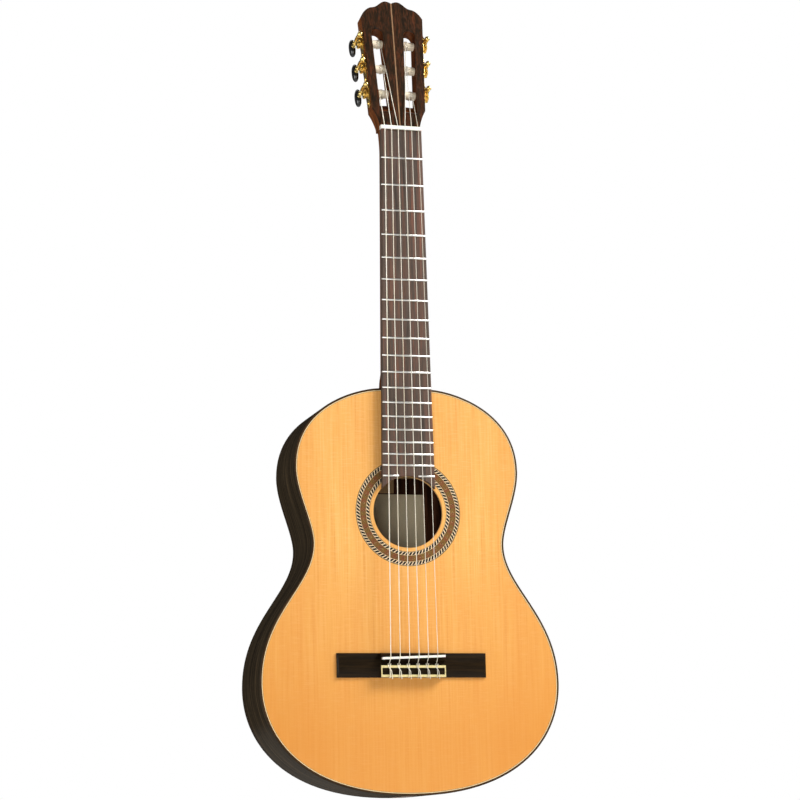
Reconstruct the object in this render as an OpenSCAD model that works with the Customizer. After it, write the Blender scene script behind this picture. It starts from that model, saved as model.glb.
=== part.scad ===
// Classical guitar with a slotted headstock and worm-gear tuning machines.
// X points to the treble side, Y to the back and Z along the neck to the head.
// The origin is the middle of the nut's playing edge, in the plane of the soundboard's face.

/* [Scale and fingerboard] */
// String length from nut to saddle
scale_length = 650; // [640:1:660]
// Width of the fingerboard at the nut
nut_width = 52; // [50:0.5:54]
// Width of the fingerboard where the neck meets the body
board_width_body = 62; // [60:0.5:64]
// Thickness of the fingerboard
board_thick = 6.5; // [6:0.1:7]
// Height of a fret's crown above the fingerboard
fret_height = 1.1; // [0.9:0.1:1.3]
// Spread of the outer strings at the nut
nut_spread = 43; // [41:0.5:44]
// Spread of the outer strings at the saddle
saddle_spread = 58.5; // [57:0.5:60]

/* [Body] */
// Length of the body
body_length = 489; // [485:1:495]
// Width across the upper bout
upper_bout = 281; // [276:1:286]
// Width at the waist
waist = 240; // [236:1:244]
// Width across the lower bout
lower_bout = 371; // [366:1:376]
// Depth of the body at the tail
body_depth = 101.5; // [100:0.5:104]
// Difference in depth between the tail and the neck end
back_taper = 5; // [3:0.5:7]
// Radius of the arch across the back
back_radius = 7000; // [5000:100:9000]
// Thickness of the ribs
rib_thick = 2.2; // [2:0.1:2.4]
// Thickness of the soundboard
top_thick = 2.5; // [2.3:0.1:2.7]
// Thickness of the back
back_thick = 2.8; // [2.5:0.1:3]
// Radius of the sound hole
hole_radius = 43.3; // [42:0.1:44]

/* [Head] */
// Angle at which the head leans back from the neck
head_tilt = 10; // [9.5:0.5:11]
// Thickness of the head with its veneer
head_thick = 20; // [19.5:0.5:21]
// Half width of the head at the middle tuner
head_half = 36.8; // [36.5:0.1:37.5]
// Angle at which each side of the head flares outwards
head_flare = 2.5; // [2.3:0.1:2.7]
// Width of each string slot
slot_width = 15; // [14.8:0.1:15.5]

/* [Tuners] */
// Spacing of the three rollers on each side
roller_pitch = 35; // [35:0.5:36]
// Radius of a roller
roller_radius = 5.15; // [5:0.05:5.2]
// Teeth on a gear wheel
gear_teeth = 16; // [16:1:16]
// Module of the gear and worm
gear_module = 0.7; // [0.7:0.01:0.7]
// Distance between the worm's axis and the roller's axis
worm_offset = 8; // [8:0.1:8.1]

/* [Hidden] */
$fn = 64;
eps = 0.01;

// Landmarks along the string line
joint_z = -scale_length / 2;
tail_z = joint_z - body_length;
hole_z = -476.2;
bridge_front_z = 4 - scale_length;
bridge_depth = 29;
bridge_rear_z = bridge_front_z - bridge_depth;

// Body outline: the flat under the neck, then four curves from shoulder to tail
shoulder_flat = 31;
upper_z = joint_z - 99;
waist_z = joint_z - 190;
lower_z = joint_z - 356.5;
CURVES = [
    [[shoulder_flat, joint_z], [shoulder_flat + 20, joint_z], [upper_bout / 2, upper_z + 81.5],
        [upper_bout / 2, upper_z]],
    [[upper_bout / 2, upper_z], [upper_bout / 2, upper_z - 31], [waist / 2, waist_z + 24],
        [waist / 2, waist_z]],
    [[waist / 2, waist_z], [waist / 2, waist_z - 51], [lower_bout / 2, lower_z + 83],
        [lower_bout / 2, lower_z]],
    [[lower_bout / 2, lower_z], [lower_bout / 2, lower_z - 64], [lower_bout * 0.365, tail_z],
        [0, tail_z]]];
CURVE_STEPS = [14, 10, 16, 22];
tail_start = CURVE_STEPS[0] + CURVE_STEPS[1] + CURVE_STEPS[2];

// Depth of each layer of the body's edge
binding_height = 6;
back_binding_height = 5;
purfling_width = 1.6;
purfling_inner = rib_thick + purfling_width;
lining_width = 6;
lining_height = 14;
lining_inner = rib_thick + lining_width;
block_half = 30;
graft_half = 5;
strip_half = 3;
strip_depth = 1.5;
tenon_half = 12;
tenon_length = 15;
tenon_depth = 80;
depth_joint = body_depth - back_taper;

// Rosette
rosette_inner = 47.8;
rosette_outer = 65.4;
rosette_depth = 1.5;

// Neck and heel
neck_depth = 14.8;
neck_growth = 1.8;
NECK_Z = [joint_z, -310, -290, -260, -220, -180, -140, -100, -70, -50, -34, -25, -17, -10, -4, 0];
HEEL_Y = [12, 15, 18, 22, 27, 33, 40, 50, 62, 76];
heel_length = 60;
heel_foot_length = 12;
heel_foot_half = 10;
heel_foot_curve = 4;
heel_side_curve = 1.1;
heel_bottom = depth_joint - 2.2;
cap_thick = 2;

// Nut, saddle and strings, bass string first
nut_length = 5;
nut_string_y = -8.3;
string_radius = [0.55, 0.46, 0.38, 0.51, 0.41, 0.36];
saddle_half = 40;
saddle_thick = 2.6;
saddle_slant = 3;
saddle_top_treble = 12.8;
saddle_top_bass = 13.6;
saddle_seat = 4;
string_sides = 8;

// Bridge
bridge_half = 92.5;
wing_height = 3.8;
rail_height = 9;
trough_height = 3.6;
tie_front_z = bridge_front_z - 15;
tie_height = 8.6;
trim_height = 0.9;
trim_width = 3;
trim_side = 1.4;
tie_hole_y = -5.2;
tie_hole_radius = 0.85;

// Head
face_y = -2.5;
veneer = 2;
row_s = 82.8;
side_foot = 24;
side_top = 153;
slot_outer = 10.4;
slot_foot = -63.8;
slot_arch = 45;
slot_ramp = tan(42);
stripe_width = 1.6;
stripe_depth = 1;

// Tuners, in the frame of the head's side: x outwards, y back from the head's face
plate_thick = 1.5;
plate_front = 2.4;
plate_rear = 17.8;
plate_half_length = 54;
roller_y = head_thick / 2;
shaft_radius = 1.5;
shaft_gap = 0.05;
spindle_radius = 2;
spindle_square = 2.8;
roller_pin_radius = 3;
roller_pin_length = 6;
wheel_x = 5.2;
wheel_width = 2.6;
worm_lead = PI * gear_module;
wheel_pitch_radius = gear_teeth * gear_module / 2;
worm_pitch_radius = worm_offset - wheel_pitch_radius;
worm_tip_radius = worm_pitch_radius + 0.6;
worm_turns = 3.5;
worm_steps = 20;
post_half = 2.8;
post_width = 2.6;
ball_radius = 3.2;
button_y = 37.2;
button_length = 13.5;
button_height = 23.5;
button_width = 8;
SCREW_Z = [-48, -15, 20, 50];
screw_head_radius = 2.1;
screw_radius = 1.1;
screw_length = 9;

// Wood and metal colours
spruce = [0.93, 0.64, 0.36];
rosewood = [0.20, 0.11, 0.08];
mahogany = [0.45, 0.25, 0.15];
bone = [0.95, 0.93, 0.86];
gold = [0.85, 0.65, 0.25];

// ---------- curves and outlines ----------

function unit(v) = v / norm(v);
function bezier(p, t) = p[0] * pow(1 - t, 3) + 3 * p[1] * t * pow(1 - t, 2)
    + 3 * p[2] * t * t * (1 - t) + p[3] * pow(t, 3);
function curve(p, n) = [for (i = [1:n]) bezier(p, i / n)];
function reversed(p) = [for (i = [len(p) - 1:-1:0]) p[i]];

// Right half of the body outline, from the neck to the tail
HALF = concat([CURVES[0][0]], [for (k = [0:3]) each curve(CURVES[k], CURVE_STEPS[k])]);
half_last = len(HALF) - 1;
LOOP = concat(HALF, [for (i = [half_last - 1:-1:0]) [-HALF[i][0], HALF[i][1]]]);

// The same outline moved inwards by d
function inset(d) = [for (i = [0:len(LOOP) - 1])
    let (a = LOOP[(i + len(LOOP) - 1) % len(LOOP)], b = LOOP[i], c = LOOP[(i + 1) % len(LOOP)],
        u = unit(b - a), v = unit(c - b), nu = [u[1], -u[0]], nv = [v[1], -v[0]], m = unit(nu + nv))
    b + m * d / (m * nu)];

// Height of the inset tail curve at a distance x from the centre line
function tail_at(d, x) = let (p = inset(d))
    lookup(x, [for (i = [half_last:-1:tail_start]) [p[i][0], p[i][1]]]);

// Right half of the inset outline, ending x_end short of the centre line at the tail
function side_points(d, x_end) = let (p = inset(d))
    concat([for (i = [0:half_last]) if (i <= tail_start || p[i][0] > x_end + eps) p[i]],
        [[x_end, tail_at(d, x_end)]]);

// Half width inside the linings at height z
function inner_half(z) = let (p = inset(lining_inner))
    lookup(z, [for (i = [half_last:-1:0]) [p[i][1], p[i][0]]]);

// Strip between two insets, from x_start at the neck to x_end at the tail
module strip(outer, inner, x_start, x_end) {
    polygon(concat([[x_start, joint_z - outer]], side_points(outer, x_end),
        reversed(side_points(inner, x_end)), [[x_start, joint_z - inner]]));
}

// Extrudes an outline drawn in X and Z from y0 to y1
module slab(y0, y1) {
    translate([0, y1, 0]) rotate([90, 0, 0]) linear_extrude(height = y1 - y0) children();
}

// Extrudes an outline drawn in Y and Z along X
module along_x(length) {
    rotate([90, 0, 90]) linear_extrude(height = length) children();
}

module both_sides() {
    children();
    mirror([1, 0, 0]) children();
}

// Space in front of a surface that lies d inside the arched back
module inside_back(d) {
    reach = lower_bout / 2 + 10;
    strips = 26;
    translate([0, depth_joint, joint_z]) rotate([atan(back_taper / body_length), 0, 0])
        translate([0, 0, -body_length - 20]) linear_extrude(height = body_length + 40)
            polygon(concat([[reach, -body_depth], [-reach, -body_depth]],
                [for (i = [0:strips]) let (x = reach * (2 * i / strips - 1))
                    [x, sqrt(pow(back_radius - d, 2) - x * x) - back_radius]]));
}

// Layer of the arched back between two depths, cut to an outline
module back_layer(d0, d1) {
    difference() {
        intersection() {
            slab(body_depth / 2, body_depth + 5) children();
            inside_back(d0);
        }
        inside_back(d1);
    }
}

// Tube of a string through a list of points, with mitred bends
module tube(points, r) {
    n = len(points);
    rings = [for (i = [0:n - 1])
        let (u = unit(points[min(i + 1, n - 1)] - points[min(i, n - 2)]),
            w = unit(points[max(i, 1)] - points[max(i - 1, 0)]),
            t = unit(u + w), b = unit([1, 0, 0] - t[0] * t), m = cross(t, b), grow = 1 / (t * u))
        [for (k = [0:string_sides - 1]) let (a = 360 * k / string_sides)
            points[i] + r * (cos(a) * b + sin(a) * grow * m)]];
    polyhedron(points = [for (ring = rings) each ring], faces = concat(
        [[for (k = [0:string_sides - 1]) k]],
        [for (i = [0:n - 2], k = [0:string_sides - 1]) let (j = (k + 1) % string_sides)
            [i * string_sides + k, (i + 1) * string_sides + k, (i + 1) * string_sides + j,
            i * string_sides + j]],
        [[for (k = [string_sides - 1:-1:0]) (n - 1) * string_sides + k]]));
}

// Solid lofted through rings of points, all with the same number of points
module loft(rings) {
    m = len(rings[0]);
    n = len(rings);
    polyhedron(points = [for (ring = rings) each ring], faces = concat(
        [[for (k = [0:m - 1]) k]],
        [for (i = [0:n - 2], k = [0:m - 1]) let (j = (k + 1) % m)
            each [[i * m + k, (i + 1) * m + k, (i + 1) * m + j],
                [i * m + k, (i + 1) * m + j, i * m + j]]],
        [[for (k = [m - 1:-1:0]) (n - 1) * m + k]]));
}

// ---------- body ----------

module soundboard() {
    color(spruce) difference() {
        slab(0, top_thick) polygon(concat(
            [[-tenon_half * 2, joint_z - purfling_inner], [-tenon_half * 2, joint_z],
                [tenon_half * 2, joint_z], [tenon_half * 2, joint_z - purfling_inner]],
            inset(purfling_inner)));
        slab(-1, top_thick + 1) translate([0, hole_z]) circle(r = hole_radius, $fn = 128);
        slab(-1, rosette_depth) translate([0, hole_z]) rosette_ring();
    }
}

module rosette_ring() {
    difference() {
        circle(r = rosette_outer, $fn = 128);
        circle(r = rosette_inner, $fn = 128);
    }
}

module rosette() {
    color([0.30, 0.20, 0.12]) slab(0, rosette_depth) translate([0, hole_z]) rosette_ring();
}

module back() {
    color(rosewood) difference() {
        back_layer(0, back_thick) polygon(inset(rib_thick));
        back_groove();
    }
}

// Groove for the strip that covers the back's centre joint
module back_groove() {
    back_layer(-1, strip_depth) back_strip_outline();
}

module back_strip_outline() {
    translate([-strip_half, tail_z - 5]) square([2 * strip_half, body_length + 10]);
}

module back_centre_strip() {
    color([0.75, 0.55, 0.35]) intersection() {
        back_layer(0, strip_depth) back_strip_outline();
        slab(body_depth / 2, body_depth + 5) polygon(inset(rib_thick));
    }
}

module rib() {
    color(rosewood) intersection() {
        slab(binding_height, body_depth) strip(0, rib_thick, tenon_half, graft_half);
        inside_back(back_binding_height);
    }
}

module binding_top() {
    color([0.16, 0.09, 0.06]) both_sides()
        slab(0, binding_height) strip(0, rib_thick, tenon_half * 2, 0);
}

module purfling_top() {
    color([0.90, 0.78, 0.55]) both_sides()
        slab(0, top_thick) strip(rib_thick, purfling_inner, tenon_half * 2, 0);
}

module binding_back() {
    color([0.16, 0.09, 0.06]) both_sides()
        back_layer(0, back_binding_height) strip(0, rib_thick, 0, 0);
}

module end_graft() {
    color([0.55, 0.35, 0.20]) intersection() {
        slab(binding_height, body_depth) polygon([[graft_half, tail_at(0, graft_half)],
            [0, tail_z], [-graft_half, tail_at(0, graft_half)],
            [-graft_half, tail_at(rib_thick, graft_half)], [0, tail_z + rib_thick],
            [graft_half, tail_at(rib_thick, graft_half)]]);
        inside_back(back_binding_height);
    }
}

module tail_block() {
    block_thick = 18;
    color(mahogany) intersection() {
        slab(top_thick, body_depth) polygon(inset(rib_thick));
        translate([-block_half, 0, tail_z])
            cube([2 * block_half, body_depth, block_thick + rib_thick]);
        inside_back(back_thick);
    }
}

module neck_block() {
    block_thick = 25;
    foot_length = 58;
    foot_thick = 12;
    foot_front = depth_joint - back_thick - foot_thick;
    top = joint_z - rib_thick;
    color(mahogany) difference() {
        intersection() {
            translate([-block_half, 0, 0]) along_x(2 * block_half) polygon([[top_thick, top],
                [body_depth, top], [body_depth, top - foot_length], [foot_front + 3, top - foot_length],
                [foot_front - 3, top - block_thick], [top_thick, top - block_thick]]);
            inside_back(back_thick);
        }
        translate([-tenon_half, 0, joint_z - tenon_length])
            cube([2 * tenon_half, tenon_depth, tenon_length]);
    }
}

module lining_top() {
    color(spruce) both_sides()
        slab(top_thick, top_thick + lining_height)
            strip(rib_thick, lining_inner, block_half, block_half);
}

module lining_back() {
    color(spruce) both_sides()
        back_layer(back_thick, back_thick + lining_height)
            strip(rib_thick, lining_inner, block_half, block_half);
}

// Bar across the soundboard, lowered towards both ends
module top_bar(z, width, height) {
    half = min(inner_half(z - width / 2), inner_half(z + width / 2)) - 0.2;
    taper = half * 0.35;
    translate([0, 0, z - width / 2]) linear_extrude(height = width) polygon([
        [-half, top_thick], [half, top_thick], [half, top_thick + 5],
        [half - taper, top_thick + height], [taper - half, top_thick + height],
        [-half, top_thick + 5]]);
}

module harmonic_bars() {
    color(spruce) {
        top_bar(hole_z + 52, 7, 16);
        top_bar(hole_z - 52, 7, 16);
        top_bar(hole_z + 88, 6, 11);
    }
}

// Strut of triangular section glued under the soundboard from a to b
module strut(a, b) {
    width = 5;
    height = 5;
    run = b - a;
    translate([a[0], top_thick, a[1]]) rotate([0, atan2(run[0], run[1]), 0])
        linear_extrude(height = norm(run))
            polygon([[-width / 2, 0], [width / 2, 0], [1, height], [-1, height]]);
}

module fan_braces() {
    fan_top = hole_z - 66;
    fan_foot = tail_z + 42;
    color(spruce) {
        for (i = [-3:3]) strut([i * 38, fan_foot + 3.5 * i * i], [i * 19, fan_top]);
        both_sides() strut([6, tail_z + 24], [108, tail_z + 54]);
    }
}

module soundhole_patch() {
    patch_radius = 62;
    patch_thick = 1.5;
    color(spruce) slab(top_thick, top_thick + patch_thick) translate([0, hole_z]) difference() {
        intersection() {
            circle(r = patch_radius, $fn = 128);
            square([3 * patch_radius, 96], center = true);
        }
        circle(r = hole_radius, $fn = 128);
    }
}

BACK_BRACE_Z = [joint_z - 92, joint_z - 232, joint_z - 372];

module back_braces() {
    width = 8;
    height = 17;
    color(spruce) for (z = BACK_BRACE_Z) {
        half = min(inner_half(z - width / 2), inner_half(z + width / 2)) - 0.2;
        taper = half * 0.3;
        foot = depth_joint + back_taper * (joint_z - z) / body_length - back_thick;
        intersection() {
            translate([0, 0, z - width / 2]) linear_extrude(height = width) polygon([
                [-half, body_depth], [half, body_depth], [half, foot - 6],
                [half - taper, foot - height], [taper - half, foot - height], [-half, foot - 6]]);
            inside_back(back_thick);
        }
    }
}

LABEL_SIZE = [96, 75];
label_z = hole_z - 2;

module back_centre_reinforcement() {
    half = 9;
    gap = 4.2;
    foot = joint_z - 62;
    spans = [[BACK_BRACE_Z[0] + gap, foot], [label_z + LABEL_SIZE[1] / 2 + 1, BACK_BRACE_Z[0] - gap],
        [BACK_BRACE_Z[1] + gap, label_z - LABEL_SIZE[1] / 2 - 1],
        [BACK_BRACE_Z[2] + gap, BACK_BRACE_Z[1] - gap], [tail_z + 22, BACK_BRACE_Z[2] - gap]];
    color(spruce) back_layer(back_thick, back_thick + 2)
        for (span = spans) translate([-half, span[0]]) square([2 * half, span[1] - span[0]]);
}

module label() {
    color([0.86, 0.83, 0.74]) back_layer(back_thick, back_thick + 0.3)
        translate([0, label_z]) square(LABEL_SIZE, center = true);
}

// ---------- neck and fingerboard ----------

function board_half(z) = nut_width / 2 + (board_width_body - nut_width) / 2 * z / joint_z;
function fret_z(n) = -scale_length * (1 - pow(2, -n / 12));

// Half of a rounded section: half width w, depth d, and squareness n
function round_side(w, d, n, steps) = [for (i = [0:steps]) let (a = 180 * i / steps)
    [w * sign(cos(a)) * pow(abs(cos(a)), 2 / n), d * pow(abs(sin(a)), 2 / n)]];

function neck_section(z) = let (near_nut = max(0, 1 + z / 34), s = near_nut * near_nut)
    [for (p = round_side(board_half(z), neck_depth + neck_growth * z / joint_z + 2.1 * s,
        2.2 + 3 * s, 22)) [p[0], p[1], z]];

function heel_rise(y) = (heel_bottom - y) / (heel_bottom - 12);
function heel_reach(y) = heel_foot_length
    + (heel_length - heel_foot_length) * pow(heel_rise(y), heel_foot_curve);
function heel_half(y) = heel_foot_half
    + (board_width_body / 2 - 1 - heel_foot_half) * pow(heel_rise(y), heel_side_curve);
function heel_section(y) = [for (p = round_side(heel_half(y), heel_reach(y), 1.9, 18))
    [p[0], y, joint_z + p[1]]];

module neck() {
    color(mahogany) {
        loft([for (z = NECK_Z) neck_section(z)]);
        loft(reversed([for (y = concat(HEEL_Y, [heel_bottom])) heel_section(y)]));
        translate([-tenon_half, top_thick, joint_z - tenon_length])
            cube([2 * tenon_half, tenon_depth - top_thick, tenon_length + 1]);
    }
}

module heel_cap() {
    color(rosewood) slab(heel_bottom, heel_bottom + cap_thick)
        polygon([for (p = heel_section(heel_bottom)) [p[0], p[2]]]);
}

module fingerboard() {
    end_z = hole_z + 26;
    color([0.30, 0.19, 0.13]) difference() {
        slab(-board_thick, 0)
            polygon([[-board_half(0), 0], [board_half(0), 0], [board_half(end_z), end_z],
                [-board_half(end_z), end_z]]);
        slab(-board_thick - 1, 1) translate([0, hole_z]) circle(r = hole_radius, $fn = 128);
        for (n = [1:19]) fret_tang(n);
    }
}

tang_thick = 0.6;
tang_depth = 2;
crown_radius = fret_height;
last_fret_gap = 12;

module fret_tang(n) {
    half = board_half(fret_z(n)) + 1;
    translate([-half, -board_thick - 1, fret_z(n) - tang_thick / 2])
        cube([2 * half, tang_depth + 1, tang_thick]);
}

// One fret between x0 and x1: a half-round crown on a thin tang
module fret(n, x0, x1) {
    translate([x0, -board_thick, fret_z(n)]) {
        difference() {
            rotate([0, 90, 0]) cylinder(r = crown_radius, h = x1 - x0, $fn = 24);
            translate([-1, 0, -2]) cube([x1 - x0 + 2, 4, 4]);
        }
        translate([0, -0.2, -tang_thick / 2]) cube([x1 - x0, tang_depth + 0.2, tang_thick]);
    }
}

module frets() {
    color([0.80, 0.80, 0.82]) {
        for (n = [1:18]) fret(n, -board_half(fret_z(n)), board_half(fret_z(n)));
        fret(19, -board_half(fret_z(19)), -last_fret_gap);
        fret(19, last_fret_gap, board_half(fret_z(19)));
    }
}

// ---------- strings, nut and bridge ----------

function string_share(i) = (i - 2.5) / 5;
function saddle_top(x) = -(saddle_top_treble + saddle_top_bass) / 2
    + (saddle_top_bass - saddle_top_treble) * x / (2 * saddle_half);
function saddle_z(x) = -scale_length - saddle_slant / 2 + saddle_slant * x / (2 * saddle_half);

// Point of the head frame, given as across, behind the face and up the face, in the guitar's frame
function head_point(p) = [p[0], face_y + p[1] * cos(head_tilt) + p[2] * sin(head_tilt),
    nut_length - p[1] * sin(head_tilt) + p[2] * cos(head_tilt)];

// Where each string meets its roller, bass string first
ROLLER_S = [row_s - roller_pitch, row_s, row_s + roller_pitch, row_s + roller_pitch, row_s,
    row_s - roller_pitch];
WIND_X = [-22.5, -15.3, -16.6, 16.6, 15.3, 20];

function roller_touch(i) = let (lift = roller_radius + string_radius[i] + 0.25, dip = 10)
    head_point([WIND_X[i], roller_y - lift * cos(dip), ROLLER_S[i] - lift * sin(dip)]);

function string_points(i) = let (r = string_radius[i], nx = nut_spread * string_share(i),
        sx = saddle_spread * string_share(i), over = -tie_height - trim_height - r - 0.05,
        rear = bridge_rear_z - r - 0.15)
    [roller_touch(i), [nx, nut_string_y, 1], [sx, saddle_top(sx) - 0.5 * r, saddle_z(sx)],
        [sx, tie_hole_y, tie_front_z + 0.3], [sx, tie_hole_y, rear], [sx, over, rear],
        [sx - 2.2, over, tie_front_z + 0.8 + r], [sx - 2.2, over + 2.6, tie_front_z + 1.4 + r]];

module string(i, extra) {
    tube(string_points(i), string_radius[i] + extra);
}

module strings(first) {
    color([0.93, 0.90, 0.80]) for (i = [first:first + 2]) string(i, 0);
}

module nut() {
    color(bone) difference() {
        translate([-nut_width / 2, 0, 0]) along_x(nut_width) polygon([[0, 0], [-8.75, 0],
            [-8.75, 1.6], [-7.7, 4.4], [-7, nut_length], [0, nut_length]]);
        for (i = [0:5]) string(i, 0.03);
    }
}

// Saddle blank, standing in its slanted slot; the crown is lower on the treble side
module saddle_blank(bottom) {
    half = saddle_half - 1;
    angle = atan(saddle_slant / (2 * saddle_half));
    translate([0, 0, saddle_z(0)]) rotate([0, -angle, 0]) translate([0, 0, -saddle_thick / 2])
        linear_extrude(height = saddle_thick) polygon([[-half, -bottom], [half, -bottom],
            [half, saddle_top(half)], [-half, saddle_top(-half)]]);
}

module saddle() {
    color(bone) difference() {
        saddle_blank(saddle_seat);
        for (i = [0:5]) string(i, 0.03);
    }
}

// Middle of the bridge: saddle rail, trough and tie block
module bridge_middle() {
    translate([-saddle_half, 0, 0]) along_x(2 * saddle_half) polygon([[0, bridge_front_z],
        [-6, bridge_front_z], [-rail_height, bridge_front_z - 1.8], [-rail_height, bridge_front_z - 9],
        [-trough_height, bridge_front_z - 11.5], [-trough_height, tie_front_z],
        [-tie_height, tie_front_z], [-tie_height, bridge_rear_z], [0, bridge_rear_z]]);
}

// One wing, thinned to a bevel at its end and rounded along its edges
module bridge_wing() {
    length = bridge_half - saddle_half + 1;
    round_radius = 60;
    mid_z = (bridge_front_z + bridge_rear_z) / 2;
    intersection() {
        translate([saddle_half - 1, 0, bridge_rear_z]) linear_extrude(height = bridge_depth)
            polygon([[0, 0], [length, 0], [length, -1.6], [length - 3, -wing_height],
                [0, -wing_height]]);
        translate([saddle_half - 2, round_radius - wing_height, mid_z]) rotate([0, 90, 0])
            cylinder(r = round_radius, h = length + 4, $fn = 256);
    }
}

module bridge() {
    color([0.14, 0.09, 0.08]) difference() {
        union() {
            bridge_middle();
            both_sides() bridge_wing();
        }
        saddle_blank(saddle_seat);
        for (i = [0:5]) translate([saddle_spread * string_share(i), tie_hole_y, bridge_rear_z - 1])
            cylinder(r = tie_hole_radius, h = tie_front_z - bridge_rear_z + 2, $fn = 16);
    }
}

module tie_block_trim() {
    length = tie_front_z - bridge_rear_z;
    color([0.93, 0.87, 0.62]) translate([-saddle_half, -tie_height - trim_height, bridge_rear_z])
        difference() {
            cube([2 * saddle_half, trim_height, length]);
            translate([trim_side, -1, trim_width])
                cube([2 * saddle_half - 2 * trim_side, trim_height + 2, length - 2 * trim_width]);
        }
}

// ---------- head ----------

module head_frame() {
    translate([0, face_y, nut_length]) rotate([-head_tilt, 0, 0]) children();
}

function side_at(s) = head_half + (s - row_s) * tan(head_flare);

// Right half of the head's outline: foot, side, shoulder, ogee and crown notch
function head_half_outline(s0) = concat(
    [[nut_width / 2, s0], [nut_width / 2, 3]],
    curve([[nut_width / 2, 3], [27.5, 9], [30, 17], [side_at(side_foot), side_foot]], 6),
    [[side_at(side_top), side_top]],
    curve([[side_at(side_top), side_top], [37.5, 158], [32, 165.5], [24.5, 166]], 8),
    curve([[24.5, 166], [18, 166.5], [14, 175.4], [7.5, 175.4]], 8),
    curve([[7.5, 175.4], [5, 175.4], [2, 174.2], [0, 172.8]], 5));

module head_outline(s0) {
    half = head_half_outline(s0);
    polygon(concat(half, [for (i = [len(half) - 2:-1:0]) [-half[i][0], half[i][1]]]));
}

// Slot for the strings of one side: a ramp at the nut end and an arch at the crown end
module head_slot() {
    foot_front = slot_foot - slot_ramp;
    foot_rear = slot_foot + slot_ramp * (head_thick + 1);
    translate([-slot_outer - slot_width, 0, 0]) along_x(slot_width)
        polygon([[-1, foot_front], [head_thick + 1, foot_rear], [head_thick + 1, slot_arch],
            [-1, slot_arch]]);
    translate([-slot_outer - slot_width / 2, -1, slot_arch]) rotate([-90, 0, 0])
        cylinder(r = slot_width / 2, h = head_thick + 2);
}

// Frame of the head's side: origin on the side face at the middle roller
module side_frame() {
    head_frame() translate([head_half, 0, row_s]) rotate([0, head_flare, 0]) children();
}

module tuner_bores() {
    for (z = [-roller_pitch, 0, roller_pitch]) translate([0, roller_y, z]) rotate([0, -90, 0]) {
        translate([0, 0, -1]) cylinder(r = roller_radius + 0.1, h = slot_outer + 2);
        cylinder(r = roller_pin_radius + 0.06, h = slot_outer + slot_width + roller_pin_length + 0.8);
    }
    for (z = SCREW_Z) translate([0, roller_y, z]) rotate([0, -90, 0])
        translate([0, 0, -1]) cylinder(r = screw_radius + 0.02, h = screw_length + 1.2, $fn = 24);
}

module headstock() {
    color(mahogany) difference() {
        head_frame() translate([0, head_thick, 0]) rotate([90, 0, 0])
            linear_extrude(height = head_thick - veneer) head_outline(-9);
        translate([-50, -50, -50]) cube([100, 100, 50]);
        translate([-50, -50, -1]) cube([100, 50, nut_length + 1]);
        both_sides() side_frame() {
            head_slot();
            tuner_bores();
        }
    }
}

module headplate_blank(y0, y1) {
    difference() {
        head_frame() translate([0, y1, 0]) rotate([90, 0, 0])
            linear_extrude(height = y1 - y0) children();
        translate([-50, -50, -50]) cube([100, 100, 50 + nut_length]);
    }
}

module headplate() {
    color(rosewood) difference() {
        headplate_blank(0, veneer) head_outline(-3);
        headplate_blank(-1, stripe_depth) translate([-stripe_width / 2, -5])
            square([stripe_width, 190]);
        both_sides() side_frame() head_slot();
    }
}

module headplate_stripe() {
    color([0.80, 0.50, 0.28]) intersection() {
        headplate_blank(0, stripe_depth) translate([-stripe_width / 2, -3])
            square([stripe_width, 190]);
        headplate_blank(-1, veneer) head_outline(-3);
    }
}

// ---------- tuners ----------

// Places a tuner by its string number: 1 to 3 up the treble side, 4 to 6 down the bass side
module tuner_place(n) {
    z = roller_pitch * (n <= 3 ? n - 2 : 5 - n);
    if (n <= 3) side_frame() translate([0, 0, z]) children();
    else mirror([1, 0, 0]) side_frame() translate([0, 0, z]) children();
}

module bearing_post(y) {
    translate([wheel_x, y + post_width, worm_offset]) rotate([90, 0, 0]) {
        cylinder(r = post_half, h = post_width);
        translate([-wheel_x + plate_thick / 2, -post_half, 0])
            cube([wheel_x, 2 * post_half, post_width]);
    }
}

module tuner_plate() {
    mid = (plate_front + plate_rear) / 2;
    half = (plate_rear - plate_front) / 2;
    color(gold) side_frame() difference() {
        union() {
            along_x(plate_thick) {
                translate([plate_front, -plate_half_length + 6])
                    square([2 * half, 2 * plate_half_length - 12]);
                for (s = [-1, 1]) translate([mid, s * (plate_half_length - 6)]) circle(r = 6);
            }
            for (z = [-roller_pitch, 0, roller_pitch]) translate([0, 0, z]) {
                bearing_post(plate_front);
                bearing_post(plate_rear - post_width);
            }
        }
        for (z = [-roller_pitch, 0, roller_pitch]) translate([0, 0, z]) {
            translate([-1, roller_y, 0]) rotate([0, 90, 0])
                cylinder(r = spindle_radius + shaft_gap, h = 4);
            translate([wheel_x, head_thick + 1, worm_offset]) rotate([90, 0, 0])
                cylinder(r = shaft_radius + shaft_gap, h = head_thick + 2);
        }
        for (z = SCREW_Z) translate([-1, roller_y, z]) rotate([0, 90, 0])
            cylinder(r = screw_radius + 0.02, h = 4, $fn = 24);
    }
}

module plate_screws() {
    color(gold) both_sides() side_frame() for (z = SCREW_Z) translate([plate_thick, roller_y, z])
        rotate([0, 90, 0]) difference() {
            union() {
                translate([0, 0, -screw_length - plate_thick + 0.5])
                    cylinder(r = screw_radius, h = screw_length + plate_thick - 0.5, $fn = 24);
                cylinder(r = screw_head_radius, h = 0.6, $fn = 24);
                translate([0, 0, 0.6])
                    cylinder(r1 = screw_head_radius, r2 = screw_head_radius - 0.7, h = 0.5, $fn = 24);
            }
            translate([-3, -0.3, 0.5]) cube([6, 0.6, 1]);
        }
}

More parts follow.
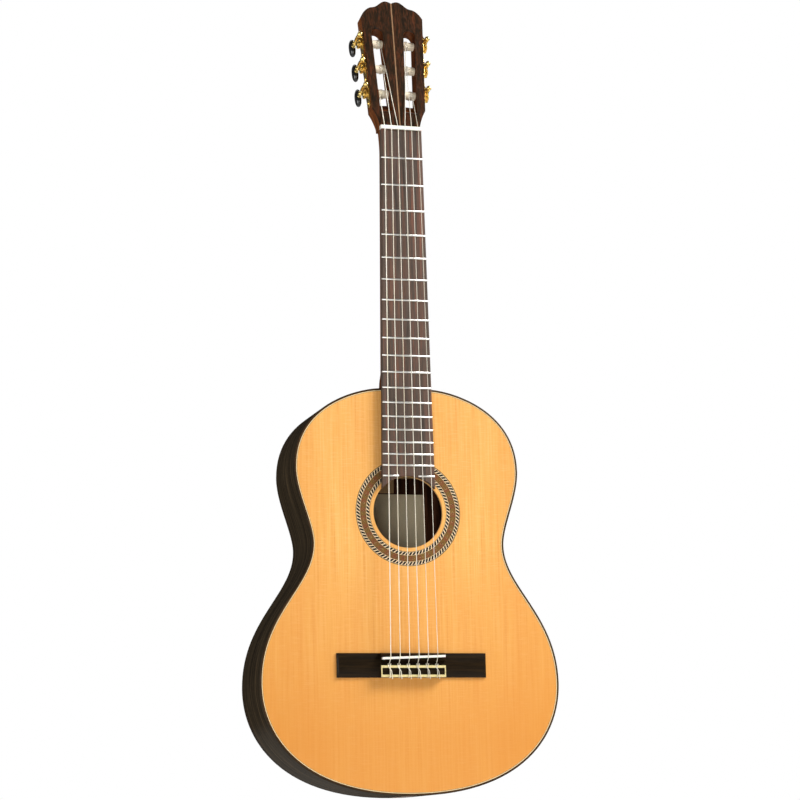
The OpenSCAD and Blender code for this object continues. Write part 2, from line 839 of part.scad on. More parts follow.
// Thread of a worm about the Z axis; at angle 0 its middle passes height 0 and each lead above it
module worm_thread() {
    steps = worm_turns * worm_steps;
    root = shaft_radius - 0.3;
    rings = [for (k = [0:steps])
        let (a = 360 * (k / worm_steps - worm_turns / 2), z = worm_lead * a / 360,
            fade = min(1, min(k, steps - k) / (worm_steps / 4)),
            tip = shaft_radius + (worm_tip_radius - shaft_radius) * fade,
            half_tip = 0.2, half_root = 0.62)
        [for (q = [[root, half_root], [tip, half_tip], [tip, -half_tip], [root, -half_root]])
            [q[0] * cos(a), q[0] * sin(a), z + q[1]]]];
    loft(rings);
}

module worm(n) {
    color(gold) tuner_place(n) translate([wheel_x, roller_y, worm_offset]) rotate([-90, 0, 0]) {
        front = -roller_y - 1.2;
        translate([0, 0, front])
            cylinder(r = shaft_radius, h = button_y - roller_y - front - 1, $fn = 32);
        translate([0, 0, front]) sphere(r = ball_radius, $fn = 32);
        rotate([0, 0, 90]) translate([0, 0, worm_lead / 2]) worm_thread();
        translate([0, 0, head_thick - roller_y + 1.6]) cylinder(r1 = 2.2, r2 = 3.2, h = 1.6, $fn = 32);
        translate([0, 0, head_thick - roller_y + 3.2]) cylinder(r = 3.2, h = 1.4, $fn = 32);
        translate([0, 0, head_thick - roller_y + 4.6]) cylinder(r = 2.4, h = button_y - head_thick
            - button_length / 2 - 4.6, $fn = 32);
    }
}

function oval(a, b, n) = [for (i = [0:31]) let (t = 360 * i / 32)
    [a * sign(cos(t)) * pow(abs(cos(t)), 2 / n), b * sign(sin(t)) * pow(abs(sin(t)), 2 / n)]];

module button(n) {
    color([0.03, 0.03, 0.03]) tuner_place(n) translate([wheel_x, button_y, worm_offset]) difference() {
        intersection() {
            translate([-button_width / 2, 0, 0]) along_x(button_width)
                polygon(oval(button_length / 2, button_height / 2, 2.3));
            translate([0, button_length / 2, 0]) rotate([90, 0, 0])
                linear_extrude(height = button_length) polygon(oval(button_width / 2, button_height / 2, 2.2));
        }
        rotate([90, 0, 0]) translate([0, 0, 0.8])
            cylinder(r = shaft_radius + 0.02, h = button_length, $fn = 32);
    }
}

// Outline of the gear wheel: one trapezoid tooth after another
function gear_outline() = [for (k = [0:gear_teeth - 1]) let (a = 360 * k / gear_teeth,
        root = wheel_pitch_radius - 0.85, tip = wheel_pitch_radius + 0.6)
    each [for (q = [[root, -0.72], [tip, -0.24], [tip, 0.24], [root, 0.72]])
        let (turn = q[1] / q[0] * 180 / PI) [q[0] * cos(a + turn), q[0] * sin(a + turn)]]];

module gear(n) {
    hub_radius = 3.2;
    color(gold) tuner_place(n) translate([0, roller_y, 0]) {
        difference() {
            union() {
                translate([wheel_x - wheel_width / 2, 0, 0])
                    along_x(wheel_width) polygon(gear_outline());
                translate([plate_thick + 0.3, 0, 0]) rotate([0, 90, 0])
                    cylinder(r = hub_radius, h = wheel_x - wheel_width / 2 - plate_thick);
            }
            translate([0, -spindle_square / 2 - 0.02, -spindle_square / 2 - 0.02])
                cube([10, spindle_square + 0.04, spindle_square + 0.04]);
        }
        translate([wheel_x + wheel_width / 2, 0, 0]) rotate([0, 90, 0]) difference() {
            union() {
                cylinder(r = 2.6, h = 1.1, $fn = 32);
                translate([0, 0, -3]) cylinder(r = 0.8, h = 3.5, $fn = 24);
            }
            translate([-4, -0.35, 0.5]) cube([8, 0.7, 1]);
        }
    }
}

module roller(n) {
    end = wheel_x + wheel_width / 2 - 0.2;
    barrel = slot_outer + slot_width - 0.2;
    color([0.93, 0.87, 0.75]) tuner_place(n) translate([0, roller_y, 0]) difference() {
        union() {
            translate([-0.2, 0, 0]) rotate([0, -90, 0]) cylinder(r = roller_radius, h = barrel - 0.2);
            rotate([0, -90, 0]) cylinder(r = roller_pin_radius, h = barrel + roller_pin_length);
            translate([-1, 0, 0]) rotate([0, 90, 0]) cylinder(r = spindle_radius, h = plate_thick + 1.2);
            translate([0, -spindle_square / 2, -spindle_square / 2])
                cube([end, spindle_square, spindle_square]);
        }
        translate([-slot_outer - slot_width / 2, 10, 0]) rotate([90, 0, 0])
            cylinder(r = 0.9, h = 20, $fn = 24);
        translate([end - 3.2, 0, 0]) rotate([0, 90, 0]) cylinder(r = 0.82, h = 4, $fn = 24);
    }
}

// ---------- assembly ----------

soundboard();
rosette();
back();
back_centre_strip();
rib();  // rib_treble
mirror([1, 0, 0]) rib();  // rib_bass
binding_top();
purfling_top();
binding_back();
end_graft();
tail_block();
neck_block();
neck();
heel_cap();
headstock();
headplate();
headplate_stripe();
lining_top();
lining_back();
fan_braces();
harmonic_bars();
soundhole_patch();
back_braces();
back_centre_reinforcement();
label();
fingerboard();
frets();
nut();
bridge();
saddle();
tie_block_trim();
strings(3);  // strings_treble
strings(0);  // strings_bass
tuner_plate();  // tuner_plate_treble
mirror([1, 0, 0]) tuner_plate();  // tuner_plate_bass
plate_screws();
for (n = [1:6]) {
    worm(n);
    button(n);
    gear(n);
    roller(n);
}
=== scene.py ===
"""Looks of a classical guitar with a slotted head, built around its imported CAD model.

Lengths are in millimetres until a mesh is made. X points to the treble side, Y to the back and
Z along the neck to the head. The origin is at the nut, in the plane of the soundboard's face.
"""

from math import atan, atan2, copysign, cos, hypot, pi, radians, sin, sqrt

import bmesh
import bpy
from mathutils import Matrix, Vector


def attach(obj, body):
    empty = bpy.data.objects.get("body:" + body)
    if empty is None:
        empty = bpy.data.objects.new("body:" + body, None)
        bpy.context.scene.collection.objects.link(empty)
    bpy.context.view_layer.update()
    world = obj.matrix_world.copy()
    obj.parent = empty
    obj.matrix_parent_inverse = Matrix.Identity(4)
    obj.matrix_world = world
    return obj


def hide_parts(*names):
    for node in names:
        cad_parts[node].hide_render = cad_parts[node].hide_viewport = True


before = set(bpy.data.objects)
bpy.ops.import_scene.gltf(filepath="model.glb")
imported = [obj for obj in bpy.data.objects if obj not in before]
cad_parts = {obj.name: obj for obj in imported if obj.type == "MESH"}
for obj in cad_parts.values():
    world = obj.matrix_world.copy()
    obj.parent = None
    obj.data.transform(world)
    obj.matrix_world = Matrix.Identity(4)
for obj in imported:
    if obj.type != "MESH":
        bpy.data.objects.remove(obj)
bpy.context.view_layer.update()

MM = 0.001

# ---- sizes, the CAD model's and finer ones ----

SCALE_LENGTH = 650.0
JOINT_Z = -SCALE_LENGTH / 2
BODY_LENGTH = 489.0
TAIL_Z = JOINT_Z - BODY_LENGTH
UPPER_BOUT, WAIST, LOWER_BOUT = 281.0, 240.0, 371.0
SHOULDER_FLAT = 31.0
BODY_DEPTH, BACK_TAPER, BACK_RADIUS = 101.5, 5.0, 7000.0
DEPTH_AT_JOINT = BODY_DEPTH - BACK_TAPER
RIB_THICK, TOP_THICK, BACK_THICK = 2.2, 2.5, 2.8
BINDING_HEIGHT, BACK_BINDING_HEIGHT, BINDING_CORNER = 6.0, 5.0, 1.3
PURFLING_EDGES = [RIB_THICK, 2.6, 3.5, 3.8]
TENON_HALF, GRAFT_HALF, TOP_TAB_HALF = 12.0, 5.0, 24.0
STRIP_HALF, STRIP_LINE_HALF, STRIP_DEPTH = 3.0, 1.0, 1.5
HOLE_Z, HOLE_RADIUS = -476.2, 43.3
ROSETTE_INNER, ROSETTE_OUTER, ROSETTE_DEPTH = 47.8, 65.4, 1.5

NUT_WIDTH, BOARD_WIDTH_AT_BODY, BOARD_THICK = 52.0, 62.0, 6.5
FRET_COUNT, FRET_HEIGHT, FRET_BEVEL, LAST_FRET_GAP = 19, 1.1, 0.9, 12.0
NUT_SPREAD, SADDLE_SPREAD, NUT_SLOT_Y = 43.0, 58.5, -8.3
STRING_RADIUS = [0.55, 0.46, 0.38, 0.51, 0.41, 0.36]
PLAIN_FROM = 3

NECK_DEPTH, NECK_GROWTH, NECK_POWER = 14.8, 1.8, 2.2
NUT_END_LENGTH, NUT_END_DEPTH, NUT_END_POWER = 34, 2.1, 3
HEEL_TOP, HEEL_BOTTOM, HEEL_CAP_THICK = 12, DEPTH_AT_JOINT - 2.2, 2.0
HEEL_LENGTH, HEEL_FOOT_LENGTH, HEEL_FOOT_HALF = 60.0, 12.0, 10.0
HEEL_FOOT_CURVE, HEEL_SIDE_CURVE, HEEL_POWER = 4, 1.1, 1.9

BRIDGE_FRONT_Z = 4.0 - SCALE_LENGTH
TIE_FRONT_Z = BRIDGE_FRONT_Z - 15
BRIDGE_REAR_Z = BRIDGE_FRONT_Z - 29
TIE_TOP_Y, TIE_HOLE_Y = -9.5, -5.2
SADDLE_HALF, SADDLE_TOP_Y, SADDLE_FALL, SADDLE_SLANT = 40, -13.2, 0.4, 1.5

FACE_Y, NUT_LENGTH, HEAD_TILT, HEAD_THICK = -2.5, 5.0, 10.0, 20.0
HEAD_HALF, HEAD_FLARE, ROW_S = 36.8, 2.5, 82.8
ROLLER_PITCH, ROLLER_RADIUS, ROLLER_Y, ROLLER_HOLE_X = 35.0, 5.15, 10.0, -18.4
STRING_ROW = (-1, 0, 1, 1, 0, -1)
STRING_ACROSS = (-22.5, -15.3, -16.6, 16.6, 15.3, 20)
STRING_DIP, STRING_GAP = radians(10), 0.1
PLATE_THICK, PLATE_HALF_LENGTH, PLATE_END, PLATE_RIM = 1.5, 54.0, 7, 0.35
PLATE_WAIST_HALF, PLATE_LOBE, PLATE_SHIFT = 5.2, 2.5, 4
POST_HALF, POST_WIDTH, POST_FRONT, POST_REAR = 2.8, 2.6, 2.4, 15.2
WHEEL_X, WORM_OFFSET, SHAFT_RADIUS, WORM_LEAD = 5.2, 8.0, 1.5, pi * 0.7
THREAD_TURNS, THREAD_ROOT, THREAD_HEIGHT = 3.5, 1.2, 1.5
BUTTON_Y, BUTTON_SIZE, BUTTON_POWER, BALL_RADIUS = 37.2, (8.0, 13.5, 23.5), 2.35, 3.2

# ---- outlines and paths ----


def spaced(low, high, spans):
    """Evenly spaced values from low to high, both ends included."""
    return [low + (high - low) * i / spans for i in range(spans + 1)]


def bezier(p, t):
    """Point of a cubic curve given by four control points."""
    weights = ((1 - t) ** 3, 3 * t * (1 - t) ** 2, 3 * t * t * (1 - t), t**3)
    return tuple(sum(w * q[k] for w, q in zip(weights, p)) for k in (0, 1))


UPPER_Z, WAIST_Z, LOWER_Z = JOINT_Z - 99, JOINT_Z - 190, JOINT_Z - 356.5
BODY_CURVES = [
    ((SHOULDER_FLAT, JOINT_Z), (SHOULDER_FLAT + 20, JOINT_Z),
     (UPPER_BOUT / 2, UPPER_Z + 81.5), (UPPER_BOUT / 2, UPPER_Z)),
    ((UPPER_BOUT / 2, UPPER_Z), (UPPER_BOUT / 2, UPPER_Z - 31),
     (WAIST / 2, WAIST_Z + 24), (WAIST / 2, WAIST_Z)),
    ((WAIST / 2, WAIST_Z), (WAIST / 2, WAIST_Z - 51),
     (LOWER_BOUT / 2, LOWER_Z + 83), (LOWER_BOUT / 2, LOWER_Z)),
    ((LOWER_BOUT / 2, LOWER_Z), (LOWER_BOUT / 2, LOWER_Z - 64),
     (LOWER_BOUT * 0.365, TAIL_Z), (0.0, TAIL_Z)),
]
CURVE_STEPS = 30


def half_outline():
    """Right half of the body's outline, from the shoulder to the middle of the tail."""
    points = [BODY_CURVES[0][0]]
    for curve in BODY_CURVES:
        points += [bezier(curve, i / CURVE_STEPS) for i in range(1, CURVE_STEPS + 1)]
    return points


def tail_point(x):
    """Where the outline crosses a distance x from the middle, at the tail."""
    low, high = 0.0, 1.0
    for _ in range(40):
        middle = (low + high) / 2
        if bezier(BODY_CURVES[3], middle)[0] > x:
            low = middle
        else:
            high = middle
    return bezier(BODY_CURVES[3], low)


def with_normals(points):
    """Each point of a line in X and Z, with the unit normal to the right of its direction."""
    out = []
    for i, point in enumerate(points):
        a = points[max(i - 1, 0)]
        b = points[min(i + 1, len(points) - 1)]
        run = hypot(b[0] - a[0], b[1] - a[1])
        out.append((point[0], point[1], (b[1] - a[1]) / run, (a[0] - b[0]) / run))
    return out


def half_rail(x_start, x_end):
    """Right edge of the body from x_start at the neck to x_end at the tail, with inward normals."""
    points = [(x_start, JOINT_Z)] if x_start < SHOULDER_FLAT else []
    points += [p for p in half_outline() if p[1] > LOWER_Z or p[0] > x_end + 0.5]
    return with_normals(points + [tail_point(x_end)])


def mirrored(rail):
    return [(-x, z, -nx, nz) for x, z, nx, nz in reversed(rail)]


def full_rail(x_start):
    """Edge of the body from x_start at the neck, round the tail, to its mirror image."""
    right = half_rail(x_start, 0.0)
    right[-1] = (0.0, TAIL_Z, 0.0, 1.0)
    return right + mirrored(right)[1:]


def inset_loop(inset):
    """The whole outline moved inwards, as a closed loop of X and Z."""
    rail = full_rail(SHOULDER_FLAT)
    return [(x + nx * inset, z + nz * inset) for x, z, nx, nz in rail]


def back_y(x, z, depth=0.0):
    """Surface of the arched and tapered back, or the surface that lies depth inside it."""
    slope = BACK_TAPER / BODY_LENGTH
    arch = sqrt((BACK_RADIUS - depth) ** 2 - x * x) - BACK_RADIUS
    return DEPTH_AT_JOINT + arch / cos(atan(slope)) + (JOINT_Z - z) * slope


def hole_arc(radius, turns):
    """Points round the sound hole's middle, at these angles from straight up."""
    return [(radius * sin(a), HOLE_Z + radius * cos(a)) for a in turns]


def superellipse(half, depth, power, steps):
    """Half of a rounded section, from its right end over to its left end."""
    out = []
    for a in spaced(0, pi, steps):
        c, s = cos(a), sin(a)
        x = copysign(half * abs(c) ** (2 / power), c)
        out.append((x, depth * max(s, 0.0) ** (2 / power)))
    return out


def board_half(z):
    return NUT_WIDTH / 2 + (BOARD_WIDTH_AT_BODY - NUT_WIDTH) / 2 * z / JOINT_Z


def fret_z(n):
    return -SCALE_LENGTH * (1 - 2 ** (-n / 12))


HEAD_FRAME = (Matrix.Translation((0, FACE_Y, NUT_LENGTH))
              @ Matrix.Rotation(radians(-HEAD_TILT), 4, "X"))
SIDE_FRAME = (HEAD_FRAME @ Matrix.Translation((HEAD_HALF, 0, ROW_S))
              @ Matrix.Rotation(radians(HEAD_FLARE), 4, "Y"))
MIRROR_X = Matrix.Scale(-1, 4, (1, 0, 0))


def tuner_frame(n):
    """Frame of a tuner at the head's side: 1 to 3 up the treble side, 4 to 6 down the bass side."""
    z = ROLLER_PITCH * (n - 2 if n <= 3 else 5 - n)
    place = SIDE_FRAME @ Matrix.Translation((0, 0, z))
    return place if n <= 3 else MIRROR_X @ place


# ---- mesh building ----


def add_object(name, data):
    obj = bpy.data.objects.new(name, data)
    bpy.context.scene.collection.objects.link(obj)
    return obj


class Form:
    """A mesh under construction, in millimetres, made of lofts, tubes, lathed shapes and plates."""

    def __init__(self):
        self.bm = bmesh.new()
        self.grain = self.bm.verts.layers.float_vector.new("grain")

    def loft(self, rings, closed=True, caps=True, slots=None, grain=None, place=None):
        """Skin through rings of points. slots holds a material index for each strip along it."""
        rows = []
        for i, ring in enumerate(rings):
            row = []
            for k, point in enumerate(ring):
                vert = self.bm.verts.new(place @ Vector(point) if place else point)
                if grain:
                    vert[self.grain] = Vector(grain[i][k]) * MM
                row.append(vert)
            rows.append(row)
        count = len(rings[0])
        for first, second in zip(rows, rows[1:]):
            for k in range(count if closed else count - 1):
                j = (k + 1) % count
                face = self.bm.faces.new((first[k], first[j], second[j], second[k]))
                face.material_index = slots[k] if slots else 0
        if caps:
            self.bm.faces.new(rows[0])
            self.bm.faces.new(rows[-1])
        return self

    def tube(self, path, radius, sides=12, place=None):
        """Round bar along a path of points."""
        points = [Vector(p) for p in path]
        turns = spaced(0, 2 * pi, sides)[:-1]
        normal = None
        rings = []
        for i, point in enumerate(points):
            ahead = points[min(i + 1, len(points) - 1)] - point
            behind = point - points[max(i - 1, 0)]
            along = (ahead.normalized() + behind.normalized()).normalized()
            if normal is None:
                normal = along.orthogonal()
            normal = (normal - along * normal.dot(along)).normalized()
            side = along.cross(normal)
            rings.append([point + radius * (normal * cos(a) + side * sin(a)) for a in turns])
        return self.loft(rings, place=place)

    def lathe(self, profile, place, sides=40):
        """Profile of distance along Z and radius, turned about the Z axis of place."""
        turns = spaced(0, 2 * pi, sides)[:-1]
        rings = [[(r * cos(a), r * sin(a), z) for a in turns] for z, r in profile]
        return self.loft(rings, place=place)

    def plate(self, loops, low, high, rim=0.0, place=None):
        """Flat plate between two depths from closed loops in X and Z, with rounded rims."""
        bm = bmesh.new()
        for loop in loops:
            verts = [bm.verts.new((x, low, z)) for x, z in loop]
            for a, b in zip(verts, verts[1:] + verts[:1]):
                bm.edges.new((a, b))
        bmesh.ops.triangle_fill(bm, use_beauty=True, use_dissolve=False, edges=bm.edges[:])
        wall = bmesh.ops.extrude_face_region(bm, geom=bm.faces[:])
        bmesh.ops.translate(bm, vec=(0, high - low, 0),
                            verts=[v for v in wall["geom"] if isinstance(v, bmesh.types.BMVert)])
        bmesh.ops.recalc_face_normals(bm, faces=bm.faces[:])
        if rim:
            edges = [e for e in bm.edges if e.verts[0].co.y == e.verts[1].co.y
                     and len(e.link_faces) == 2 and e.calc_face_angle() > 1.2]
            bmesh.ops.bevel(bm, geom=edges, offset=rim, segments=3, affect="EDGES", profile=0.5)
        if place:
            bm.transform(place)
        mesh = bpy.data.meshes.new("plate")
        bm.to_mesh(mesh)
        bm.free()
        self.bm.from_mesh(mesh)
        bpy.data.meshes.remove(mesh)
        return self

    def object(self, name, materials, crease=32):
        """Turns the form into an object in metres, smooth but for angles above crease."""
        bmesh.ops.remove_doubles(self.bm, verts=self.bm.verts[:], dist=1e-4)
        bmesh.ops.recalc_face_normals(self.bm, faces=self.bm.faces[:])
        bmesh.ops.scale(self.bm, vec=(MM, MM, MM), verts=self.bm.verts[:])
        mesh = bpy.data.meshes.new(name)
        self.bm.to_mesh(mesh)
        self.bm.free()
        for material in materials:
            mesh.materials.append(material)
        mesh.polygons.foreach_set("use_smooth", [True] * len(mesh.polygons))
        mesh.set_sharp_from_angle(angle=radians(crease))
        return add_object(name, mesh)

    def piece(self, name, materials, replaces, body="root", crease=32, flat=False):
        """An object that rides on a body. Where flat is set, its broad faces shade flat up to their
        rounded rims."""
        obj = self.object(name, materials, crease)
        if flat:
            flatten_shading(obj)
        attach(obj, body)
        if replaces:
            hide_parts(*replaces)
        return obj


def modify(obj, name, kind, **settings):
    """Adds a modifier with its settings."""
    modifier = obj.modifiers.new(name, kind)
    for key, value in settings.items():
        setattr(modifier, key, value)


def flatten_shading(obj):
    """Keeps the light even across broad faces, so that it turns only in their rounded edges."""
    modify(obj, "even_shading", "WEIGHTED_NORMAL", keep_sharp=True, weight=90)


def sweep(form, rail, section, slots=None):
    """Sweeps a closed section, given as inset and depth at each place, along the body's edge."""
    rings, grain, run, last = [], [], 0.0, None
    for x, z, nx, nz in rail:
        if last:
            run += hypot(x - last[0], z - last[1])
        last = (x, z)
        points = section(x, z, nx, nz)
        rings.append([(x + nx * d, y, z + nz * d) for d, y in points])
        grain.append([(run, y, d) for d, y in points])
    return form.loft(rings, slots=slots, grain=grain)


def rounded(path, radius, steps=5):
    """The path with each corner replaced by a short curve."""
    points = [Vector(p) for p in path]
    out = [points[0]]
    for a, b, c in zip(points, points[1:], points[2:]):
        before = b + (a - b).normalized() * min(radius, (a - b).length * 0.45)
        after = b + (c - b).normalized() * min(radius, (c - b).length * 0.45)
        for i in range(steps + 1):
            t = i / steps
            out.append(before * (1 - t) ** 2 + b * 2 * t * (1 - t) + after * t * t)
    return out + [points[-1]]


# ---- materials ----


def tone(red, green, blue):
    """Colour from its display values, 0 to 255, as the linear colour that shaders use."""
    def linear(value):
        value /= 255
        return value / 12.92 if value <= 0.04045 else ((value + 0.055) / 1.055) ** 2.4

    return (linear(red), linear(green), linear(blue), 1.0)


class Finish:
    """A node material under construction."""

    def __init__(self, name, surface):
        self.material = bpy.data.materials.new(name)
        self.material.use_nodes = True
        self.tree = self.material.node_tree
        self.shader = self.tree.nodes["Principled BSDF"]
        for key, value in surface.items():
            self.shader.inputs[key].default_value = value

    def put(self, socket, value):
        """Links a socket to value where that is another socket, or sets it."""
        if isinstance(value, bpy.types.NodeSocket):
            self.tree.links.new(value, socket)
        else:
            socket.default_value = value

    def node(self, kind, inputs, **settings):
        made = self.tree.nodes.new("ShaderNode" + kind)
        for key, value in settings.items():
            setattr(made, key, value)
        for key, value in inputs.items():
            self.put(made.inputs[key], value)
        return made

    def place(self, scale, grain=False):
        """Object coordinates, or the mesh's own grain coordinates, stretched by scale."""
        if grain:
            source = self.node("Attribute", {}, attribute_name="grain").outputs["Vector"]
        else:
            source = self.node("TexCoord", {}).outputs["Object"]
        return self.node("Mapping", {"Vector": source, "Scale": scale}).outputs["Vector"]

    def split(self, vector):
        return self.node("SeparateXYZ", {"Vector": vector}).outputs

    def noise(self, vector, scale=1.0, detail=3.0, roughness=0.55, distortion=0.0):
        made = self.node("TexNoise", {"Vector": vector, "Scale": scale, "Detail": detail,
                                      "Roughness": roughness, "Distortion": distortion})
        return made.outputs["Fac"]

    def math(self, operation, *values):
        made = self.node("Math", dict(enumerate(values)), operation=operation)
        return made.outputs["Value"]

    def add(self, a, b):
        return self.math("ADD", a, b)

    def times(self, a, b):
        return self.math("MULTIPLY", a, b)

    def less(self, a, b):
        return self.math("SUBTRACT", a, b)

    def spread(self, value, low, high, new_low=0.0, new_high=1.0):
        """value moved from one range to another, and kept inside it."""
        return self.node("MapRange", {"Value": value, "From Min": low, "From Max": high,
                                      "To Min": new_low, "To Max": new_high}).outputs["Result"]

    def ramp(self, value, stops, stepped=False):
        """Colour by value from stops, each a position and the display values of its colour."""
        made = self.node("ValToRGB", {"Fac": value})
        elements = made.color_ramp.elements
        while len(elements) < len(stops):
            elements.new(1.0)
        for element, (position, *colour) in zip(elements, stops):
            element.position = position
            element.color = tone(*colour)
        if stepped:
            made.color_ramp.interpolation = "CONSTANT"
        return made.outputs["Color"]

    def blend(self, amount, first, second):
        made = self.node("Mix", {}, data_type="RGBA")
        self.put(made.inputs["Factor"], amount)
        self.put(made.inputs[6], first)
        self.put(made.inputs[7], second)
        return made.outputs[2]

    def bump(self, height, distance_mm, strength):
        made = self.node("Bump", {"Height": height, "Distance": distance_mm * MM,
                                  "Strength": strength})
        self.put(self.shader.inputs["Normal"], made.outputs["Normal"])

    def done(self, colour, roughness):
        self.put(self.shader.inputs["Base Color"], colour)
        self.put(self.shader.inputs["Roughness"], roughness)
        return self.material


GLOSS = {"Coat Weight": 0.55, "Coat Roughness": 0.12}
SATIN = {"Coat Weight": 0.15, "Coat Roughness": 0.35}
THIN_LACQUER = {"Coat Weight": 0.1, "Coat Roughness": 0.18, "Specular IOR Level": 0.0}
OILED = {"Coat Weight": 0.04, "Coat Roughness": 0.3, "Specular IOR Level": 0.12}


def stretch(along, across, length):
    """Scale that makes features across mm wide and length mm long, the long way along an axis."""
    return tuple(1000 / length if axis == along else 1000 / across for axis in "XYZ")


def open_wood(name, tones, streak, along="Z", pore_dark=0.5, roughness=(0.35, 0.5),
              surface=THIN_LACQUER, grain=False, waviness=0.6):
    """Hardwood with streaks of colour along the grain and fine open pores."""
    made = Finish(name, surface)
    broad = made.noise(made.place(stretch(along, streak, streak * 28), grain), detail=5.0,
                       roughness=0.62, distortion=waviness)
    fine = made.noise(made.place(stretch(along, 0.9, 45), grain), detail=4.0, roughness=0.7)
    mixed = made.add(made.times(broad, 0.72), made.times(fine, 0.28))
    colour = made.ramp(made.spread(mixed, 0.34, 0.66), tones)
    pores = made.noise(made.place(stretch(along, 0.42, 9), grain), detail=2.0, roughness=0.5)
    open_pores = made.spread(pores, 0.62, 0.72)
    colour = made.blend(made.times(open_pores, pore_dark), colour, tone(12, 8, 6))
    made.bump(made.less(1.0, open_pores), 0.08, 0.35)
    return made.done(colour, made.spread(fine, 0.3, 0.7, *roughness))


def cedar_top():
    """Book-matched soundboard: fine growth lines, cross silk, and a deeper orange towards the edges
    and the lower bout, partly the wood's tint and partly painted shade.
    """
    growth_line = 1.5 * MM
    surface = {"Coat Weight": 0.45, "Coat Roughness": 0.16, "Specular IOR Level": 0.4}
    made = Finish("top_wood", surface)
    where = made.split(made.place((1, 1, 1)))
    across = made.math("ABSOLUTE", where["X"])
    mirror = made.node("CombineXYZ", {"X": across, "Y": where["Y"], "Z": where["Z"]})
    folded = mirror.outputs["Vector"]

    def layer(scale, **settings):
        vector = made.node("Mapping", {"Vector": folded, "Scale": scale}).outputs["Vector"]
        return made.noise(vector, **settings)

    drift = layer((7, 7, 2.2), detail=2.0)
    lines = made.math("SINE", made.add(made.times(across, 2 * pi / growth_line),
                                       made.times(drift, 30.0)))
    growth = made.spread(lines, 0.2, 1.0)
    streaks = layer((420, 420, 7), detail=4.0, roughness=0.65)
    silk = layer((60, 60, 900), detail=3.0, roughness=0.7)
    broad = layer((26, 26, 5), detail=3.0)
    colour = made.ramp(made.spread(streaks, 0.25, 0.75), [
        (0.0, 230, 158, 78), (0.5, 246, 185, 100), (1.0, 254, 202, 123)])
    colour = made.blend(made.times(growth, 0.35), colour, tone(218, 132, 56))
    colour = made.blend(made.spread(broad, 0.35, 0.7, 0.0, 0.4), colour, tone(230, 146, 70))
    colour = made.blend(made.spread(silk, 0.5, 0.72, 0.0, 0.45), colour, tone(255, 204, 136))
    # Painted shade mixed with tint: the colour deepens towards the lower bout and the sides, where
    # the light falls off.
    lower_tint_and_shade = made.spread(where["Z"], -0.5, -0.75, 0.0, 0.65)
    edge = made.spread(across, 0.08, 0.18, 0.0, 0.2)
    colour = made.blend(made.add(lower_tint_and_shade, edge), colour, tone(222, 142, 56))
    made.bump(streaks, 0.03, 0.15)
    return made.done(colour, made.spread(silk, 0.2, 0.8, 0.3, 0.42))


def pale_spruce():
    """Bare spruce of the braces and linings inside the body."""
    made = Finish("inner_spruce", {"Specular IOR Level": 0.3})
    streaks = made.noise(made.place(stretch("Z", 0.8, 60)), detail=4.0, roughness=0.6)
    broad = made.noise(made.place(stretch("Z", 12, 90)), detail=2.0)
    colour = made.ramp(streaks, [(0.3, 176, 140, 96), (0.7, 206, 172, 124)])
    colour = made.blend(made.spread(broad, 0.3, 0.7, 0.0, 0.4), colour, tone(188, 150, 104))
    made.bump(streaks, 0.05, 0.4)
    return made.done(colour, made.spread(broad, 0.3, 0.7, 0.6, 0.8))


def polar(made):
    """Angle in turns round the sound hole, and distance from its centre in millimetres."""
    where = made.split(made.place((1000, 1000, 1000)))
    up = made.less(where["Z"], HOLE_Z)
    turn = made.math("DIVIDE", made.math("ARCTAN2", where["X"], up), 2 * pi)
    squares = made.add(made.times(where["X"], where["X"]), made.times(up, up))
    distance = made.math("SQRT", squares)
    return turn, distance


def rope_inlay(name, strands, middle, lean):
    """Ring of slanting black and white slivers."""
    made = Finish(name, GLOSS)
    turn, distance = polar(made)
    slant = made.times(made.less(distance, middle), lean)
    phase = made.math("FRACT", made.add(made.times(turn, strands), slant))
    wear = made.noise(made.place((700, 700, 700)), detail=2.0)
    colour = made.ramp(made.add(phase, made.times(wear, 0.12)), [
        (0.0, 240, 212, 170), (0.22, 12, 8, 4), (0.84, 110, 82, 50), (0.92, 246, 224, 188)],
        stepped=True)
    return made.done(colour, made.spread(wear, 0.3, 0.7, 0.3, 0.45))


def mosaic_inlay():
    """Ring of tiny square sticks set in repeating lozenges of russet, olive and tan."""
    motifs, tiles_along, tiles_across = 34, 16, 11
    made = Finish("rosette_mosaic", GLOSS)
    turn, distance = polar(made)
    along = made.times(turn, motifs * tiles_along)
    tiles_per_mm = tiles_across / (MOSAIC_OUTER - MOSAIC_INNER)
    across = made.times(made.less(distance, MOSAIC_INNER), tiles_per_mm)

    def folded(value, count):
        step = made.math("DIVIDE", made.math("FLOOR", value), count)
        centred = made.less(made.math("FRACT", step), 0.5 - 0.5 / count)
        return made.times(made.math("ABSOLUTE", centred), 2.0)

    lozenge = made.add(folded(along, tiles_along), folded(across, tiles_across))
    whole = {"X": made.math("FLOOR", along), "Y": made.math("FLOOR", across)}
    stick = made.noise(made.node("CombineXYZ", whole).outputs["Vector"], scale=0.9, detail=0.0)
    value = made.add(lozenge, made.spread(stick, 0.2, 0.8, -0.25, 0.25))
    colour = made.ramp(made.math("DIVIDE", value, 2.0), [
        (0.0, 52, 36, 18), (0.13, 176, 138, 84), (0.22, 116, 62, 34),
        (0.42, 118, 96, 34), (0.56, 142, 76, 42), (0.74, 84, 70, 26)], stepped=True)
    waves = made.math("SINE", made.times(turn, 2 * pi * motifs))
    colour = made.blend(made.spread(waves, -0.2, 0.2, 0.4, 0.0), colour, tone(128, 66, 40))
    colour = made.blend(made.spread(waves, -0.2, 0.2, 0.0, 0.4), colour, tone(112, 90, 30))
    return made.done(colour, made.spread(stick, 0.2, 0.8, 0.3, 0.45))


